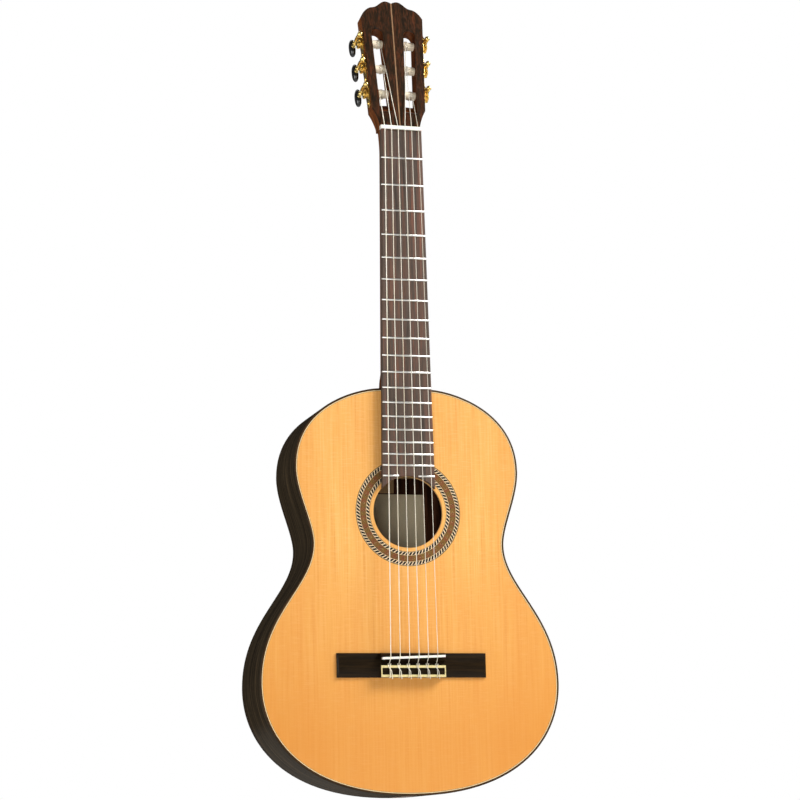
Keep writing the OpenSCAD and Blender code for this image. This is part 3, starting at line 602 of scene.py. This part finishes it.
def plain(name, colour, variation, grain_mm, roughness, surface, bump_mm=0.0):
    """Fine-grained stuff such as bone, plastic, paper or lacquer, mottled by noise."""
    made = Finish(name, surface)
    mottle = made.noise(made.place((1000 / grain_mm,) * 3), detail=4.0, roughness=0.6)
    shade = made.blend(made.spread(mottle, 0.3, 0.7), tone(*colour), tone(*variation))
    if bump_mm:
        made.bump(mottle, bump_mm, 0.4)
    return made.done(shade, made.spread(mottle, 0.3, 0.7, *roughness))


def metal(name, bright, dull, roughness, brush_mm, engraving=False):
    """Polished metal with slight tarnish, and scrollwork where it is engraved."""
    made = Finish(name, {"Metallic": 1.0})
    bright, dull = tone(*bright), tone(*dull)
    tarnish = made.noise(made.place((180, 180, 180)), detail=5.0, roughness=0.65)
    colour = made.blend(made.spread(tarnish, 0.45, 0.7), bright, dull)
    height = made.noise(made.place(stretch("Z", 0.2, 6)), detail=2.0)
    if engraving:
        cells = made.node("TexVoronoi", {"Vector": made.place((330, 330, 330)), "Scale": 1.0},
                          feature="SMOOTH_F1").outputs["Distance"]
        rings = made.math("SINE", made.times(cells, 16.0))
        colour = made.blend(made.spread(rings, 0.3, 0.9, 0.0, 0.45), colour, dull)
        height = rings
    made.bump(height, brush_mm, 0.5)
    return made.done(colour, made.spread(tarnish, 0.35, 0.75, *roughness))


def wound_string():
    """Silver-plated wire wound tightly round a core, with its coils running round the string."""
    made = Finish("wound_string", {"Metallic": 0.25})
    where = made.split(made.place((1000, 1000, 1000)))
    coils = made.math("SINE", made.times(where["Z"], 2 * pi / 0.28))
    stain = made.noise(made.place((90, 90, 25)), detail=3.0)
    colour = made.blend(made.spread(stain, 0.4, 0.7), tone(255, 250, 234), tone(238, 226, 196))
    made.bump(coils, 0.03, 0.4)
    return made.done(colour, made.spread(stain, 0.3, 0.7, 0.28, 0.42))


def nylon():
    """Clear nylon monofilament, milky with use."""
    made = Finish("nylon", {"Transmission Weight": 0.25, "IOR": 1.53, "Specular IOR Level": 0.6})
    cloud = made.noise(made.place((60, 60, 12)), detail=3.0)
    colour = made.blend(made.spread(cloud, 0.3, 0.7), tone(255, 250, 238), tone(246, 236, 212))
    return made.done(colour, made.spread(cloud, 0.3, 0.7, 0.16, 0.26))


MOSAIC_INNER, MOSAIC_OUTER = 53.0, 59.6
# Outer radius of each ring of the rosette, and what it is made of.
RINGS = [
    (48.3, "line"), (48.6, "pale"), (52.3, "rope_inner"), (52.65, "pale"), (MOSAIC_INNER, "line"),
    (MOSAIC_OUTER, "mosaic"), (59.95, "line"), (60.3, "pale"), (64.3, "rope_outer"),
    (64.65, "pale"), (ROSETTE_OUTER, "line"),
]

TOP_WOOD = cedar_top()
INNER_SPRUCE = pale_spruce()
RIB_TONES = [(0.0, 28, 21, 14), (0.45, 48, 40, 29), (0.7, 60, 50, 37), (1.0, 86, 70, 50)]
RIB_WOOD = open_wood("rib_wood", RIB_TONES, 7, "X", roughness=(0.3, 0.42), grain=True, waviness=1.2)
BACK_WOOD = open_wood(
    "back_wood", [(0.0, 24, 14, 10), (0.4, 50, 30, 22), (0.7, 76, 46, 33), (1.0, 104, 66, 46)],
    9, roughness=(0.28, 0.4), waviness=1.4)
BOARD_WOOD = open_wood(
    "board_wood", [(0.0, 52, 40, 32), (0.4, 80, 65, 54), (0.65, 97, 70, 56), (1.0, 132, 78, 56)],
    5, pore_dark=0.55, roughness=(0.42, 0.58), surface={})
HEAD_WOOD = open_wood(
    "head_veneer_wood", [(0.0, 22, 13, 5), (0.4, 40, 25, 9), (0.65, 62, 34, 15), (1.0, 92, 46, 22)],
    3.5, roughness=(0.28, 0.4), surface=OILED, waviness=0.9)
BRIDGE_WOOD = open_wood("bridge_wood", [(0.0, 16, 10, 4), (0.5, 31, 21, 8), (1.0, 48, 34, 16)],
                        3, "X", roughness=(0.3, 0.42), surface=OILED)
NECK_WOOD = open_wood("neck_wood", [(0.0, 70, 40, 22), (0.5, 104, 60, 34), (1.0, 134, 80, 46)],
                      10, pore_dark=0.4, roughness=(0.32, 0.42))
BINDING_WOOD = open_wood("binding_wood", RIB_TONES[:3], 2, "X", grain=True)
# The binding's rosewood again, painted lighter and browner for its flat face: painted light and
# sheen, not a different wood.
BINDING_FACE_PAINTED_LIGHT = open_wood("binding_face_painted_light", [(0.0, 52, 36, 22), (1.0, 86, 62, 42)],
                         2, "X", grain=True)
STRIPE_WOOD = open_wood("stripe_wood", [(0.0, 118, 80, 46), (1.0, 160, 120, 76)],
                        1.5, pore_dark=0.25, surface=SATIN)
GRAFT_WOOD = open_wood("graft_wood", [(0.0, 120, 74, 40), (1.0, 168, 112, 66)],
                       1.5, "Y", pore_dark=0.25, surface=GLOSS)
PALE_LINE = plain("purfling_pale", (250, 222, 172), (234, 200, 144), 1.2, (0.35, 0.5), GLOSS)
DARK_LINE = plain("purfling_dark", (34, 25, 16), (52, 42, 26), 1.2, (0.3, 0.45), GLOSS)
ROPE_INNER = rope_inlay("rope_inner", 74, 50.4, -0.17)
ROPE_OUTER = rope_inlay("rope_outer", 96, 62.3, -0.17)
MOSAIC = mosaic_inlay()
BONE = plain("bone", (255, 253, 246), (246, 240, 224), 1.5, (0.25, 0.4),
             {"Subsurface Weight": 0.15, "Subsurface Scale": 0.002}, 0.01)
TRIM_CREAM = plain("trim_cream", (238, 224, 168), (214, 192, 128), 1.8, (0.25, 0.4), SATIN, 0.01)
PAPER = plain("label_paper", (232, 216, 182), (210, 194, 158), 0.7, (0.7, 0.9), {}, 0.02)
GOLD = metal("gold_plate", (255, 226, 142), (214, 168, 84), (0.2, 0.36), 0.02)
ENGRAVED_GOLD = metal("engraved_gold", (255, 226, 142), (186, 140, 66), (0.22, 0.38), 0.12, True)
FRET_METAL = metal("fret_metal", (246, 245, 240), (226, 223, 214), (0.3, 0.42), 0.01)
ROLLER_CREAM = plain("roller_cream", (255, 242, 218), (244, 226, 194), 2.5, (0.3, 0.42), SATIN)
BUTTON_BLACK = plain("button_black", (16, 15, 15), (30, 28, 27), 3.0, (0.16, 0.28), GLOSS, 0.01)
WOUND_STRING = wound_string()
NYLON = nylon()

# ---- body ----


CORNER_TURNS = spaced(0, pi / 2, 4)


def make_body():
    """Soundboard, rosette, edge bindings, ribs and back."""
    board = Form()
    inner_edge = PURFLING_EDGES[-1]
    loop = [(TOP_TAB_HALF, JOINT_Z)] + inset_loop(inner_edge) + [(-TOP_TAB_HALF, JOINT_Z)]
    circle = spaced(0, 2 * pi, 160)[:-1]
    rings = [hole_arc(r, circle) for r in (ROSETTE_OUTER, ROSETTE_INNER, HOLE_RADIUS)]
    board.plate([loop] + rings, 0, TOP_THICK)
    board.piece("top_plate", [TOP_WOOD], ["soundboard"])

    make_rosette()

    binding = Form()
    arc = [(BINDING_CORNER * (1 - sin(a)), BINDING_CORNER * (1 - cos(a))) for a in CORNER_TURNS]
    binding_section = [(RIB_THICK, BINDING_HEIGHT), (RIB_THICK, 0)] + arc + [(0, BINDING_HEIGHT)]
    # Slot 1, the binding's flat face, takes the lighter copy with painted light; the sides take the
    # plain rosewood.
    sweep(binding, full_rail(TOP_TAB_HALF), lambda *place: binding_section,
          slots=[0, 1, 1, 0, 0, 0, 0, 0])
    binding.piece("top_binding", [BINDING_WOOD, BINDING_FACE_PAINTED_LIGHT], ["binding_top"])

    lines = Form()
    lines_section = [(d, 0.0) for d in PURFLING_EDGES]
    lines_section += [(inner_edge, TOP_THICK), (RIB_THICK, TOP_THICK)]
    sweep(lines, full_rail(TOP_TAB_HALF), lambda *place: lines_section,
          slots=[1, 0, 1, 1, 1, 1])
    lines.piece("top_purfling", [PALE_LINE, DARK_LINE], ["purfling_top"])

    rail = half_rail(TENON_HALF, GRAFT_HALF)
    for name, node, side in (("treble_rib", "rib_treble", rail),
                             ("bass_rib", "rib_bass", mirrored(rail))):
        rib = Form()
        sweep(rib, side, rib_section)
        rib.piece(name, [RIB_WOOD], [node])

    edge = Form()
    sweep(edge, full_rail(0.0), back_binding_section)
    edge.piece("back_binding", [BINDING_WOOD], ["binding_back"])

    graft = Form()
    tail = [p for p in half_rail(TENON_HALF, 0.0) if p[1] < LOWER_Z and p[0] < GRAFT_HALF - 0.5]
    x, z = tail_point(GRAFT_HALF)
    half = [(x, z, 0.0, 1.0)] + [(px, pz, 0.0, 1.0) for px, pz, _, _ in tail]
    sweep(graft, half + mirrored(half)[1:], rib_section)
    graft.piece("tail_graft", [GRAFT_WOOD], ["end_graft"])

    make_back()


def rib_section(x, z, *normal):
    """Rib from the top binding to the back binding, with its inner face."""
    start, end = BINDING_HEIGHT, back_y(x, z) - BACK_BINDING_HEIGHT
    return [(0, y) for y in spaced(start, end, 8)] + [(RIB_THICK, end), (RIB_THICK, start)]


def back_binding_section(x, z, nx, nz):
    """Strip along the back's edge, with a rounded outer corner."""
    start = back_y(x, z) - BACK_BINDING_HEIGHT
    out = [(RIB_THICK, start), (0, start)]
    for a in CORNER_TURNS:
        inset = BINDING_CORNER * (1 - cos(a))
        rise = BINDING_CORNER * (1 - sin(a))
        out.append((inset, back_y(x + nx * inset, z + nz * inset) - rise))
    out.append((RIB_THICK, back_y(x + nx * RIB_THICK, z + nz * RIB_THICK)))
    return out


def back_rows(x_inner):
    """Rows of points on the back, from x_inner out to the binding, from the neck to the tail."""
    rows = []
    for x, z, nx, nz in half_rail(0.0, x_inner):
        x_outer = max(x + nx * RIB_THICK, x_inner)
        rows.append([(px, z + nz * RIB_THICK) for px in spaced(x_inner, x_outer, 16)])
    return rows[1:]


def make_back():
    """Two book-matched plates and the strip along their joint."""
    plates = Form()
    rows = back_rows(STRIP_HALF)
    for side in (1, -1):
        for depth in (0.0, BACK_THICK):
            plates.loft([[(side * x, back_y(x, z, depth), z) for x, z in row] for row in rows],
                        closed=False, caps=False)
    plates.piece("back_plates", [BACK_WOOD], ["back"])

    strip = Form()
    edges = (-STRIP_HALF, -STRIP_LINE_HALF, STRIP_LINE_HALF, STRIP_HALF)
    section = [(x, 0) for x in edges] + [(STRIP_HALF, STRIP_DEPTH), (-STRIP_HALF, STRIP_DEPTH)]
    heights = spaced(JOINT_Z - RIB_THICK, TAIL_Z + RIB_THICK, 60)
    strip.loft([[(x, back_y(x, z, depth), z) for x, depth in section] for z in heights],
               slots=[1, 0, 1, 1, 1, 1])
    strip.piece("back_strip", [PALE_LINE, DARK_LINE], ["back_centre_strip"])


def make_rosette():
    """Concentric rings of lines, rope and mosaic let into the soundboard."""
    materials = {"line": DARK_LINE, "pale": PALE_LINE, "rope_inner": ROPE_INNER,
                 "rope_outer": ROPE_OUTER, "mosaic": MOSAIC}
    names = list(materials)
    form = Form()
    radii = [ROSETTE_INNER] + [outer for outer, _ in RINGS]
    section = [(r, 0.0) for r in radii] + [(r, ROSETTE_DEPTH) for r in (radii[-1], radii[0])]
    slots = [names.index(name) for _, name in RINGS] + [0, 0, 0]
    form.loft([[(r * sin(a), y, HOLE_Z + r * cos(a)) for r, y in section]
               for a in spaced(0, 2 * pi, 180)], slots=slots, caps=False)
    form.piece("rosette_rings", list(materials.values()), ["rosette"])


# ---- neck, fingerboard and frets ----


def neck_ring(z):
    """Section of the neck, let 2 mm into the fingerboard, deeper and squarer near the nut."""
    near_nut = max(0.0, 1 + z / NUT_END_LENGTH) ** 2
    half = board_half(z)
    depth = NECK_DEPTH + NECK_GROWTH * z / JOINT_Z + NUT_END_DEPTH * near_nut
    round_side = superellipse(half, depth, NECK_POWER + NUT_END_POWER * near_nut, 40)
    return [(x, y, z) for x, y in round_side] + [(-half, -2, z), (half, -2, z)]


def heel_ring(y):
    """Section of the heel at a depth under the top, widest at the neck."""
    rise = (HEEL_BOTTOM - y) / (HEEL_BOTTOM - HEEL_TOP)
    reach = HEEL_FOOT_LENGTH + (HEEL_LENGTH - HEEL_FOOT_LENGTH) * rise**HEEL_FOOT_CURVE
    top_half = BOARD_WIDTH_AT_BODY / 2 - 1
    half = HEEL_FOOT_HALF + (top_half - HEEL_FOOT_HALF) * rise**HEEL_SIDE_CURVE
    return [(x, y, JOINT_Z + z) for x, z in superellipse(half, reach, HEEL_POWER, 40)]


def make_neck():
    """Neck and heel run into each other: two lofts merged by a fine remesh and smoothed."""
    neck = Form()
    neck.loft([neck_ring(z) for z in spaced(0, JOINT_Z, 65)])
    neck.loft([heel_ring(y) for y in spaced(HEEL_TOP, HEEL_BOTTOM, 40)])
    wood = neck.piece("neck_shaft", [NECK_WOOD], ["neck"], crease=60)
    modify(wood, "merge", "REMESH", mode="VOXEL", voxel_size=1.0 * MM, use_smooth_shade=True)
    modify(wood, "soften", "SMOOTH", factor=0.5, iterations=5)
    modify(wood, "trim", "DECIMATE", decimate_type="DISSOLVE", angle_limit=radians(0.5))

    cap = Form()
    foot = [(x, z) for x, _, z in heel_ring(HEEL_BOTTOM)]
    cap.plate([foot], HEEL_BOTTOM, HEEL_BOTTOM + HEEL_CAP_THICK, 0.5)
    cap.piece("heel_plate", [HEAD_WOOD], ["heel_cap"], flat=True)


def make_fingerboard():
    """Board cut off along the sound hole's edge, and its frets."""
    board = Form()
    about_corner = HOLE_Z + 28
    corner = HOLE_Z + sqrt(HOLE_RADIUS**2 - board_half(about_corner) ** 2)
    start = atan2(board_half(corner), corner - HOLE_Z)
    end = hole_arc(HOLE_RADIUS, spaced(start, -start, 24))
    loop = [(-board_half(0), 0), (board_half(0), 0)] + end
    board.plate([loop], -BOARD_THICK, 0, 0.35)
    board.piece("fretboard", [BOARD_WOOD], ["fingerboard"], flat=True)

    wires = Form()
    for n in range(1, FRET_COUNT + 1):
        half = board_half(fret_z(n))
        spans = [(-half, half)]
        if n == FRET_COUNT:
            spans = [(-half, -LAST_FRET_GAP), (LAST_FRET_GAP, half)]
        for low, high in spans:
            fret_wire(wires, fret_z(n), low, high)
    wires.piece("fret_wires", [FRET_METAL], ["frets"], crease=50)


def fret_wire(form, z, low, high):
    """Rounded wire across the board, with its ends bevelled down to the wood."""
    turns = spaced(0, pi, 10)
    rings = []
    for x, size in ((low, 0.1), (low + FRET_BEVEL, 1.0), (high - FRET_BEVEL, 1.0), (high, 0.1)):
        rings.append([(x, -BOARD_THICK - FRET_HEIGHT * size * sin(a), z + FRET_HEIGHT * cos(a))
                      for a in turns])
    form.loft(rings)


# ---- strings ----


def saddle_point(x):
    """Top of the saddle under a string: it slants back, and stands higher on the bass side."""
    share = x / SADDLE_HALF
    return SADDLE_TOP_Y + SADDLE_FALL * share, -SCALE_LENGTH - SADDLE_SLANT + SADDLE_SLANT * share


def roller_touch(i):
    """Where a string meets its roller, in the guitar's frame."""
    lift = ROLLER_RADIUS + STRING_RADIUS[i] + STRING_GAP
    roller_s = ROW_S + STRING_ROW[i] * ROLLER_PITCH
    return HEAD_FRAME @ Vector((STRING_ACROSS[i], ROLLER_Y - lift * cos(STRING_DIP),
                                roller_s - lift * sin(STRING_DIP)))


def string_path(i):
    """From the roller over nut and saddle, through the tie block, back over it, round itself."""
    r = STRING_RADIUS[i]
    share = (i - 2.5) / 5
    x = SADDLE_SPREAD * share
    top, saddle_z = saddle_point(x)
    front = TIE_FRONT_Z
    over = TIE_TOP_Y - r - 0.05
    rear = BRIDGE_REAR_Z - r - STRING_GAP
    path = [
        roller_touch(i), (NUT_SPREAD * share, NUT_SLOT_Y, 1), (x, top - 0.5 * r, saddle_z),
        (x, TIE_HOLE_Y, front + 0.3), (x, TIE_HOLE_Y, rear), (x, over, rear),
        (x, over, front + 0.2), (x + 1.6, over + 1.2, front + 1.6),
        (x + 1.3, -5.4, front + 2.4), (x - 1.4, -5.6, front + 2.2),
        (x - 2.0, over + 0.9, front + 0.9), (x - 1.7, over, front - 2.2),
        (x - 0.1, over - 2 * r, front - 4.4), (x + 1.7, over, front - 6.8),
        (x + 2.3, over, BRIDGE_REAR_Z + 0.8), (x + 2.9, over + 1.1, BRIDGE_REAR_Z - 2.2),
    ]
    return rounded(path, 1.1)


def winding_path(i):
    """Turns of a string round its roller, in the tuner's frame, ending in the roller's hole."""
    n = 6 - i
    r = STRING_RADIUS[i]
    start = tuner_frame(n).inverted() @ roller_touch(i)
    reach = ROLLER_RADIUS + r + STRING_GAP
    turns = max(1, int(abs(start.x - ROLLER_HOLE_X) / (2 * r + 0.12)))
    steps = 36 * turns + 1
    path = []
    for k in range(steps + 1):
        angle = STRING_DIP - (2 * pi * turns + STRING_DIP) * k / steps
        x = start.x + (ROLLER_HOLE_X - start.x) * k / steps
        path.append((x, ROLLER_Y - reach * cos(angle), -reach * sin(angle)))
    path.append((ROLLER_HOLE_X, ROLLER_Y - reach + 0.6, 0.6))
    path.append((ROLLER_HOLE_X, ROLLER_Y - reach + 2.4, 0.5))
    return path


def make_strings():
    """Strings 0 to 2 on the bass side are wound, the others plain; tuner 6 holds string 0."""
    finishes = [("bass_strings", range(PLAIN_FROM), WOUND_STRING, "strings_bass"),
                ("treble_strings", range(PLAIN_FROM, 6), NYLON, "strings_treble")]
    for name, numbers, material, node in finishes:
        form = Form()
        for i in numbers:
            form.tube(string_path(i), STRING_RADIUS[i])
        form.piece(name, [material], [node], crease=60)
    for i in range(6):
        n = 6 - i
        winding = Form()
        winding.tube(winding_path(i), STRING_RADIUS[i], place=tuner_frame(n))
        material = WOUND_STRING if i < PLAIN_FROM else NYLON
        winding.piece(f"winding_{n}", [material], [], f"roller_{n}", crease=60)


# ---- tuning machines ----


def plate_loop():
    """Scalloped outline of a side plate, wide round each tuner and drawn in between them."""
    end = PLATE_HALF_LENGTH
    edge = []
    for z in spaced(-end, end, 150):
        lobe = (z - PLATE_SHIFT + ROLLER_PITCH * 1.5) / ROLLER_PITCH
        swell = (0.5 - 0.5 * cos(2 * pi * lobe)) ** 0.7 if 0 < lobe < 3 else 0.0
        into_end = max(0.0, (abs(z) - end + PLATE_END) / PLATE_END)
        taper = sqrt(max(0.0, 1 - into_end**2))
        edge.append(((PLATE_WAIST_HALF + PLATE_LOBE * swell) * max(taper, 0.02), z))
    right = [(ROLLER_Y + half, z) for half, z in edge]
    left = [(ROLLER_Y - half, z) for half, z in reversed(edge)]
    return right + left


def post_loop():
    """Bearing post seen along the worm: a foot let into the plate, flaring into a ring."""
    turns = spaced(radians(-125), radians(125), 28)
    ring = [(WHEEL_X + POST_HALF * cos(a), POST_HALF * sin(a)) for a in turns]
    foot = [(PLATE_THICK - 0.3, 4.2), (2.4, 2.6)]
    return [(x, -z) for x, z in foot] + ring + foot[::-1]


def make_plates():
    """Side plates with two bearing posts for each worm and a bead on each post's face."""
    turned = Matrix.Rotation(radians(90), 4, "Z")
    for name, node, side in (("treble_plate", "tuner_plate_treble", Matrix.Identity(4)),
                             ("bass_plate", "tuner_plate_bass", MIRROR_X)):
        form = Form()
        place = side @ SIDE_FRAME
        form.plate([plate_loop()], -PLATE_THICK, 0, PLATE_RIM, place @ turned)
        for row in (-1, 0, 1):
            centre = row * ROLLER_PITCH + WORM_OFFSET
            post = [(x, z + centre) for x, z in post_loop()]
            for y in (POST_FRONT, POST_REAR):
                form.plate([post], y, y + POST_WIDTH, 0.45, place)
            for y in (2.2, 17.8):
                bead = place @ Matrix.Translation((WHEEL_X, y, centre))
                bead = bead @ Matrix.Rotation(radians(-90), 4, "X")
                form.lathe([(0, 2.3), (0.15, 2.4), (0.3, 2.3)], bead, 28)
        form.piece(name, [ENGRAVED_GOLD], [node], flat=True)


def thread_rings():
    """Worm thread about the Z axis, growing to full height over a quarter turn at each end."""
    per_turn = 40
    steps = int(THREAD_TURNS * per_turn)
    rings = []
    for k in range(steps + 1):
        angle = 2 * pi * (k / per_turn - THREAD_TURNS / 2)
        z = WORM_LEAD * angle / (2 * pi) + WORM_LEAD / 2
        fade = min(1.0, min(k, steps - k) / (per_turn / 4))
        tip = SHAFT_RADIUS + THREAD_HEIGHT * fade
        profile = ((THREAD_ROOT, 0.62), (tip, 0.2), (tip, -0.2), (THREAD_ROOT, -0.62))
        turned = angle + pi / 2
        rings.append([(q * cos(turned), q * sin(turned), z + w) for q, w in profile])
    return rings


def worm_profile():
    """Front ball, shaft, turned collars behind the head and the ferrule that holds the button."""
    front = -ROLLER_Y - 1.2
    button = BUTTON_Y - ROLLER_Y
    turns = [radians(-88 + 10 * i) for i in range(16)]
    ball = [(front + BALL_RADIUS * sin(a), BALL_RADIUS * cos(a)) for a in turns]
    rear = HEAD_THICK - ROLLER_Y
    shaft = [(front + BALL_RADIUS, SHAFT_RADIUS), (rear + 1.4, SHAFT_RADIUS)]
    collar = [(rear + 1.6, 2.2), (rear + 2.3, 2.9), (rear + 3.2, 3.2), (rear + 4.2, 3.1),
              (rear + 4.5, 2.5), (rear + 5.0, 2.2), (rear + 5.8, 2.6), (rear + 7.0, 2.2),
              (rear + 9.6, 2.2), (button - 6.9, 2.7), (button - 6.2, 2.7)]
    return ball + shaft + collar


def make_tuners():
    for n in range(1, 7):
        place = tuner_frame(n) @ Matrix.Translation((WHEEL_X, ROLLER_Y, WORM_OFFSET))
        along = place @ Matrix.Rotation(radians(-90), 4, "X")
        worm = Form()
        worm.lathe(worm_profile(), along)
        worm.loft(thread_rings(), place=along)
        worm.piece(f"worm_shaft_{n}", [GOLD], [f"worm_{n}"], f"worm_{n}", crease=45)
        make_button(n, tuner_frame(n) @ Matrix.Translation((WHEEL_X, BUTTON_Y, WORM_OFFSET)))


def make_button(n, place):
    """Oval button: a subdivided box pushed out to a rounded form."""
    form = Form()
    bmesh.ops.create_cube(form.bm, size=2)
    bmesh.ops.subdivide_edges(form.bm, edges=form.bm.edges[:], cuts=11, use_grid_fill=True)
    for vert in form.bm.verts:
        ratios = [abs(c) / (size / 2) for c, size in zip(vert.co, BUTTON_SIZE)]
        vert.co /= sum(q**BUTTON_POWER for q in ratios) ** (1 / BUTTON_POWER)
    form.bm.transform(place)
    form.piece(f"button_oval_{n}", [BUTTON_BLACK], [f"button_{n}"],
               f"worm_{n}", crease=80)


# ---- CAD nodes that keep their shape ----


def dress(material, nodes, edge=0.0):
    """Gives CAD nodes a material, and a soft edge where edge is their bevel in millimetres."""
    for name in nodes:
        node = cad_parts[name]
        node.data.materials.clear()
        node.data.materials.append(material)
        node.data.polygons.foreach_set("use_smooth", [True] * len(node.data.polygons))
        modify(node, "join", "WELD", merge_threshold=0.002 * MM)
        if edge:
            modify(node, "soft_edge", "BEVEL", width=edge * MM, segments=2,
                   limit_method="ANGLE", angle_limit=radians(50))
        modify(node, "creases", "EDGE_SPLIT", split_angle=radians(46))
        flatten_shading(node)


def dress_frame():
    dress(NECK_WOOD, ["headstock"], 0.4)
    dress(HEAD_WOOD, ["headplate"], 0.25)
    dress(STRIPE_WOOD, ["headplate_stripe"])
    dress(BONE, ["nut", "saddle"], 0.15)
    dress(BRIDGE_WOOD, ["bridge"], 0.3)
    dress(TRIM_CREAM, ["tie_block_trim"], 0.12)
    dress(INNER_SPRUCE, ["lining_top", "lining_back", "fan_braces", "harmonic_bars",
                         "soundhole_patch", "back_braces", "back_centre_reinforcement"])
    dress(NECK_WOOD, ["tail_block", "neck_block"])
    dress(PAPER, ["label"])
    dress(GOLD, ["plate_screws"])
    for n in range(1, 7):
        dress(GOLD, [f"gear_{n}"], 0.08)
        dress(ROLLER_CREAM, [f"roller_{n}"])


# ---- scene ----

CAMERA_AZIMUTH, CAMERA_ELEVATION, CAMERA_ROLL = -16.156, -10.381, -1.230
CAMERA_TARGET = (-7.155, 0.0, -339.045)
CAMERA_DISTANCE, CAMERA_LENS, SENSOR_WIDTH = 2999.8, 111.18, 36.0
FLOOR_Z, FLOOR_REACH = -1050.0, 2200.0
WORLD_GLOW = 0.07
# Name, position in metres, height aimed at, size and power of each light.
LIGHTS = [
    ("key", (2.6, -1.5, 1.8), -0.4, (1.5, 1.5), 204),
    ("fill", (-1.5, -2.7, -0.7), -0.5, (1.2, 1.2), 32),
    ("left", (-3.0, 0.3, -0.4), -0.4, (1.5, 1.5), 32),
    ("rear", (2.3, 1.8, 1.4), -0.4, (1.6, 2.0), 30),
    ("rear_top", (-0.6, 1.6, 2.8), -0.4, (2.0, 1.2), 20),
]


def make_camera():
    azimuth, elevation = radians(CAMERA_AZIMUTH), radians(CAMERA_ELEVATION)
    back = Vector((sin(azimuth) * cos(elevation), -cos(azimuth) * cos(elevation), sin(elevation)))
    right = (-back).cross(Vector((0, 0, 1))).normalized()
    up = right.cross(-back)
    turn = Matrix.Rotation(radians(CAMERA_ROLL), 3, back)
    right, up = turn @ right, turn @ up
    data = bpy.data.cameras.new("camera")
    data.lens = CAMERA_LENS
    data.sensor_width = SENSOR_WIDTH
    camera = add_object("camera", data)
    place = Matrix((right, up, back)).transposed().to_4x4()
    place.translation = (Vector(CAMERA_TARGET) + back * CAMERA_DISTANCE) * MM
    camera.matrix_world = place
    bpy.context.scene.camera = camera


def area_light(name, position, height, size, power):
    data = bpy.data.lights.new(name, "AREA")
    data.shape = "RECTANGLE"
    data.size, data.size_y = size
    data.energy = power
    light = add_object(name, data)
    light.location = position
    aim = Vector((0, 0, height)) - Vector(position)
    light.rotation_euler = aim.to_track_quat("-Z", "Y").to_euler()


def make_surroundings():
    """Pale floor, soft lights, and a world that looks white but gives only a faint glow."""
    floor = Form()
    ends = (-FLOOR_REACH, FLOOR_REACH)
    floor.loft([[(x, y, FLOOR_Z) for y in ends] for x in ends], closed=False, caps=False)
    pale = plain("pale_floor", (236, 236, 234), (230, 230, 228), 40.0, (0.7, 0.85), {})
    ground = floor.object("floor", [pale])

    for light in LIGHTS:
        area_light(*light)

    world = bpy.data.worlds.new("studio")
    bpy.context.scene.world = world
    world.use_nodes = True
    tree = world.node_tree
    glow = tree.nodes["Background"]
    glow.inputs["Color"].default_value = (1, 1, 1, 1)
    glow.inputs["Strength"].default_value = WORLD_GLOW
    backdrop = tree.nodes.new("ShaderNodeBackground")
    backdrop.inputs["Color"].default_value = (1, 1, 1, 1)
    seen = tree.nodes.new("ShaderNodeLightPath")
    choose = tree.nodes.new("ShaderNodeMixShader")
    tree.links.new(seen.outputs["Is Camera Ray"], choose.inputs["Fac"])
    tree.links.new(glow.outputs["Background"], choose.inputs[1])
    tree.links.new(backdrop.outputs["Background"], choose.inputs[2])
    tree.links.new(choose.outputs["Shader"], tree.nodes["World Output"].inputs["Surface"])
    bpy.context.scene.view_settings.view_transform = "Standard"


make_body()
make_neck()
make_fingerboard()
make_strings()
make_plates()
make_tuners()
dress_frame()
make_camera()
make_surroundings()
